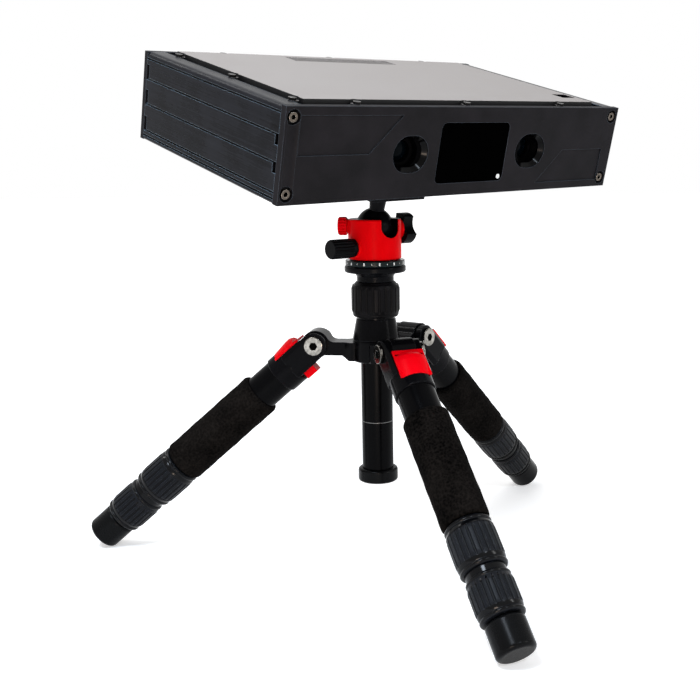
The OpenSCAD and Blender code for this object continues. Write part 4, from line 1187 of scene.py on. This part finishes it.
@dataclass
class Studio:
    """Camera, floor and soft light.

    The camera's place and lens are in millimetres, all else in metres.
    """

    eye: Point = (-553.54, -629.82, 308.06)
    forward: Point = (0.65769, 0.7364, -0.15863)
    up: Point = (0.11021, 0.11425, 0.98732)
    lens: float = 57.06
    sensor: float = 36.0
    shift: Pair = (-0.1242, -0.0238)
    clip: Pair = (0.01, 50.0)
    # Strength of the world as a light, and where it is seen.
    fill: float = 0.32
    backdrop: float = 1.0
    # Floor, whose glow rises with the distance until it meets the backdrop.
    floor_r: float = 8.0
    floor_facets: int = 64
    floor_tone: str = "#f2f2f2"
    floor_roughness: float = 0.9
    glow_from: Pair = (0.3, 0.45)
    glow_to: Pair = (1.6, 1.0)
    # Point that the lamps are turned to.
    aim: Point = (0.0, 0.0, 0.25)

    def camera(self) -> None:
        """Places the camera where the photograph was taken from."""
        data = bpy.data.cameras.new("photo_camera")
        data.lens = self.lens
        data.sensor_width = self.sensor
        data.shift_x, data.shift_y = self.shift
        data.clip_start, data.clip_end = self.clip
        made = bpy.data.objects.new("photo_camera", data)
        bpy.context.scene.collection.objects.link(made)
        ahead = Vector(self.forward).normalized()
        right = ahead.cross(Vector(self.up)).normalized()
        above = right.cross(ahead)
        turn = Matrix((right, above, -ahead)).transposed().to_4x4()
        made.matrix_world = Matrix.Translation(Vector(self.eye) * MM) @ turn
        bpy.context.scene.camera = made

    def seen(self, tree: Tree) -> Socket:
        """Adds a value that is 1 for rays that show the background, straight or reflected.

        Args:
            tree: The node tree that takes the nodes.

        Returns:
            The value socket.
        """
        path = add_node(tree, "ShaderNodeLightPath").outputs
        share = path["Is Camera Ray"]
        for ray in ("Is Glossy Ray", "Is Transmission Ray"):
            both = {0: share, 1: path[ray]}
            share = add_node(tree, "ShaderNodeMath", both, operation="MAXIMUM").outputs[0]
        return share

    def world(self) -> None:
        """Lights the scene evenly and keeps the background white."""
        made = bpy.data.worlds.new("studio_world")
        made.use_nodes = True
        tree = made.node_tree
        tree.nodes.clear()
        strength = add_node(
            tree, "ShaderNodeMapRange",
            {"Value": self.seen(tree), "To Min": self.fill, "To Max": self.backdrop},
        )
        light = add_node(
            tree, "ShaderNodeBackground", {"Color": WHITE, "Strength": strength.outputs[0]},
        )
        add_node(tree, "ShaderNodeOutputWorld", {"Surface": light.outputs[0]})
        bpy.context.scene.world = made

    def floor(self) -> None:
        """Lays a pale floor that fades into the background and keeps a soft shadow."""
        shape = bmesh.new()
        bmesh.ops.create_circle(
            shape, cap_ends=True, radius=self.floor_r, segments=self.floor_facets,
        )
        data = bpy.data.meshes.new("studio_floor")
        shape.to_mesh(data)
        shape.free()
        made = bpy.data.objects.new("studio_floor", data)
        bpy.context.scene.collection.objects.link(made)
        paint = bpy.data.materials.new("matt_white_floor")
        paint.use_nodes = True
        tree = paint.node_tree
        tree.nodes.clear()
        spot = add_node(tree, "ShaderNodeNewGeometry").outputs["Position"]
        away = add_node(tree, "ShaderNodeVectorMath", {0: spot}, operation="LENGTH")
        near, dim = self.glow_from
        far, full = self.glow_to
        fade = add_node(
            tree, "ShaderNodeMapRange",
            {
                "Value": away.outputs["Value"], "From Min": near, "From Max": far,
                "To Min": dim, "To Max": full,
            },
        )
        glow = add_node(
            tree, "ShaderNodeMath", {0: self.seen(tree), 1: fade.outputs[0]}, operation="MULTIPLY",
        )
        shader = add_node(
            tree, "ShaderNodeBsdfPrincipled",
            {
                "Base Color": hex_linear(self.floor_tone), "Roughness": self.floor_roughness,
                "Emission Color": WHITE, "Emission Strength": glow.outputs[0],
            },
        )
        add_node(tree, "ShaderNodeOutputMaterial", {"Surface": shader.outputs[0]})
        data.materials.append(paint)

    def light(self, lamp: Lamp) -> None:
        """Adds one softbox, aimed at the scanner.

        Args:
            lamp: The softbox.
        """
        data = bpy.data.lights.new(lamp.name, "AREA")
        data.shape = "RECTANGLE"
        data.size, data.size_y = lamp.size
        data.energy = lamp.power
        data.color = hex_linear(lamp.tint)[:3]
        made = bpy.data.objects.new(lamp.name, data)
        bpy.context.scene.collection.objects.link(made)
        made.location = lamp.place
        made.rotation_mode = "QUATERNION"
        toward = Vector(self.aim) - Vector(lamp.place)
        made.rotation_quaternion = toward.to_track_quat("-Z", "Y")

    def build(self) -> None:
        """Sets up the studio."""
        bpy.context.scene.view_settings.view_transform = "Standard"
        self.camera()
        self.world()
        self.floor()
        for lamp in LAMPS:
            self.light(lamp)


def main() -> None:
    """Builds the studio and dresses the sub-assemblies in order."""
    logging.basicConfig(level=logging.INFO, format="%(message)s")
    Studio().build()
    for index in LEGS:
        Leg(index).build()
    Column().build()
    BallHead().build()
    Scanner().build()


if __name__ == "__main__":
    main()
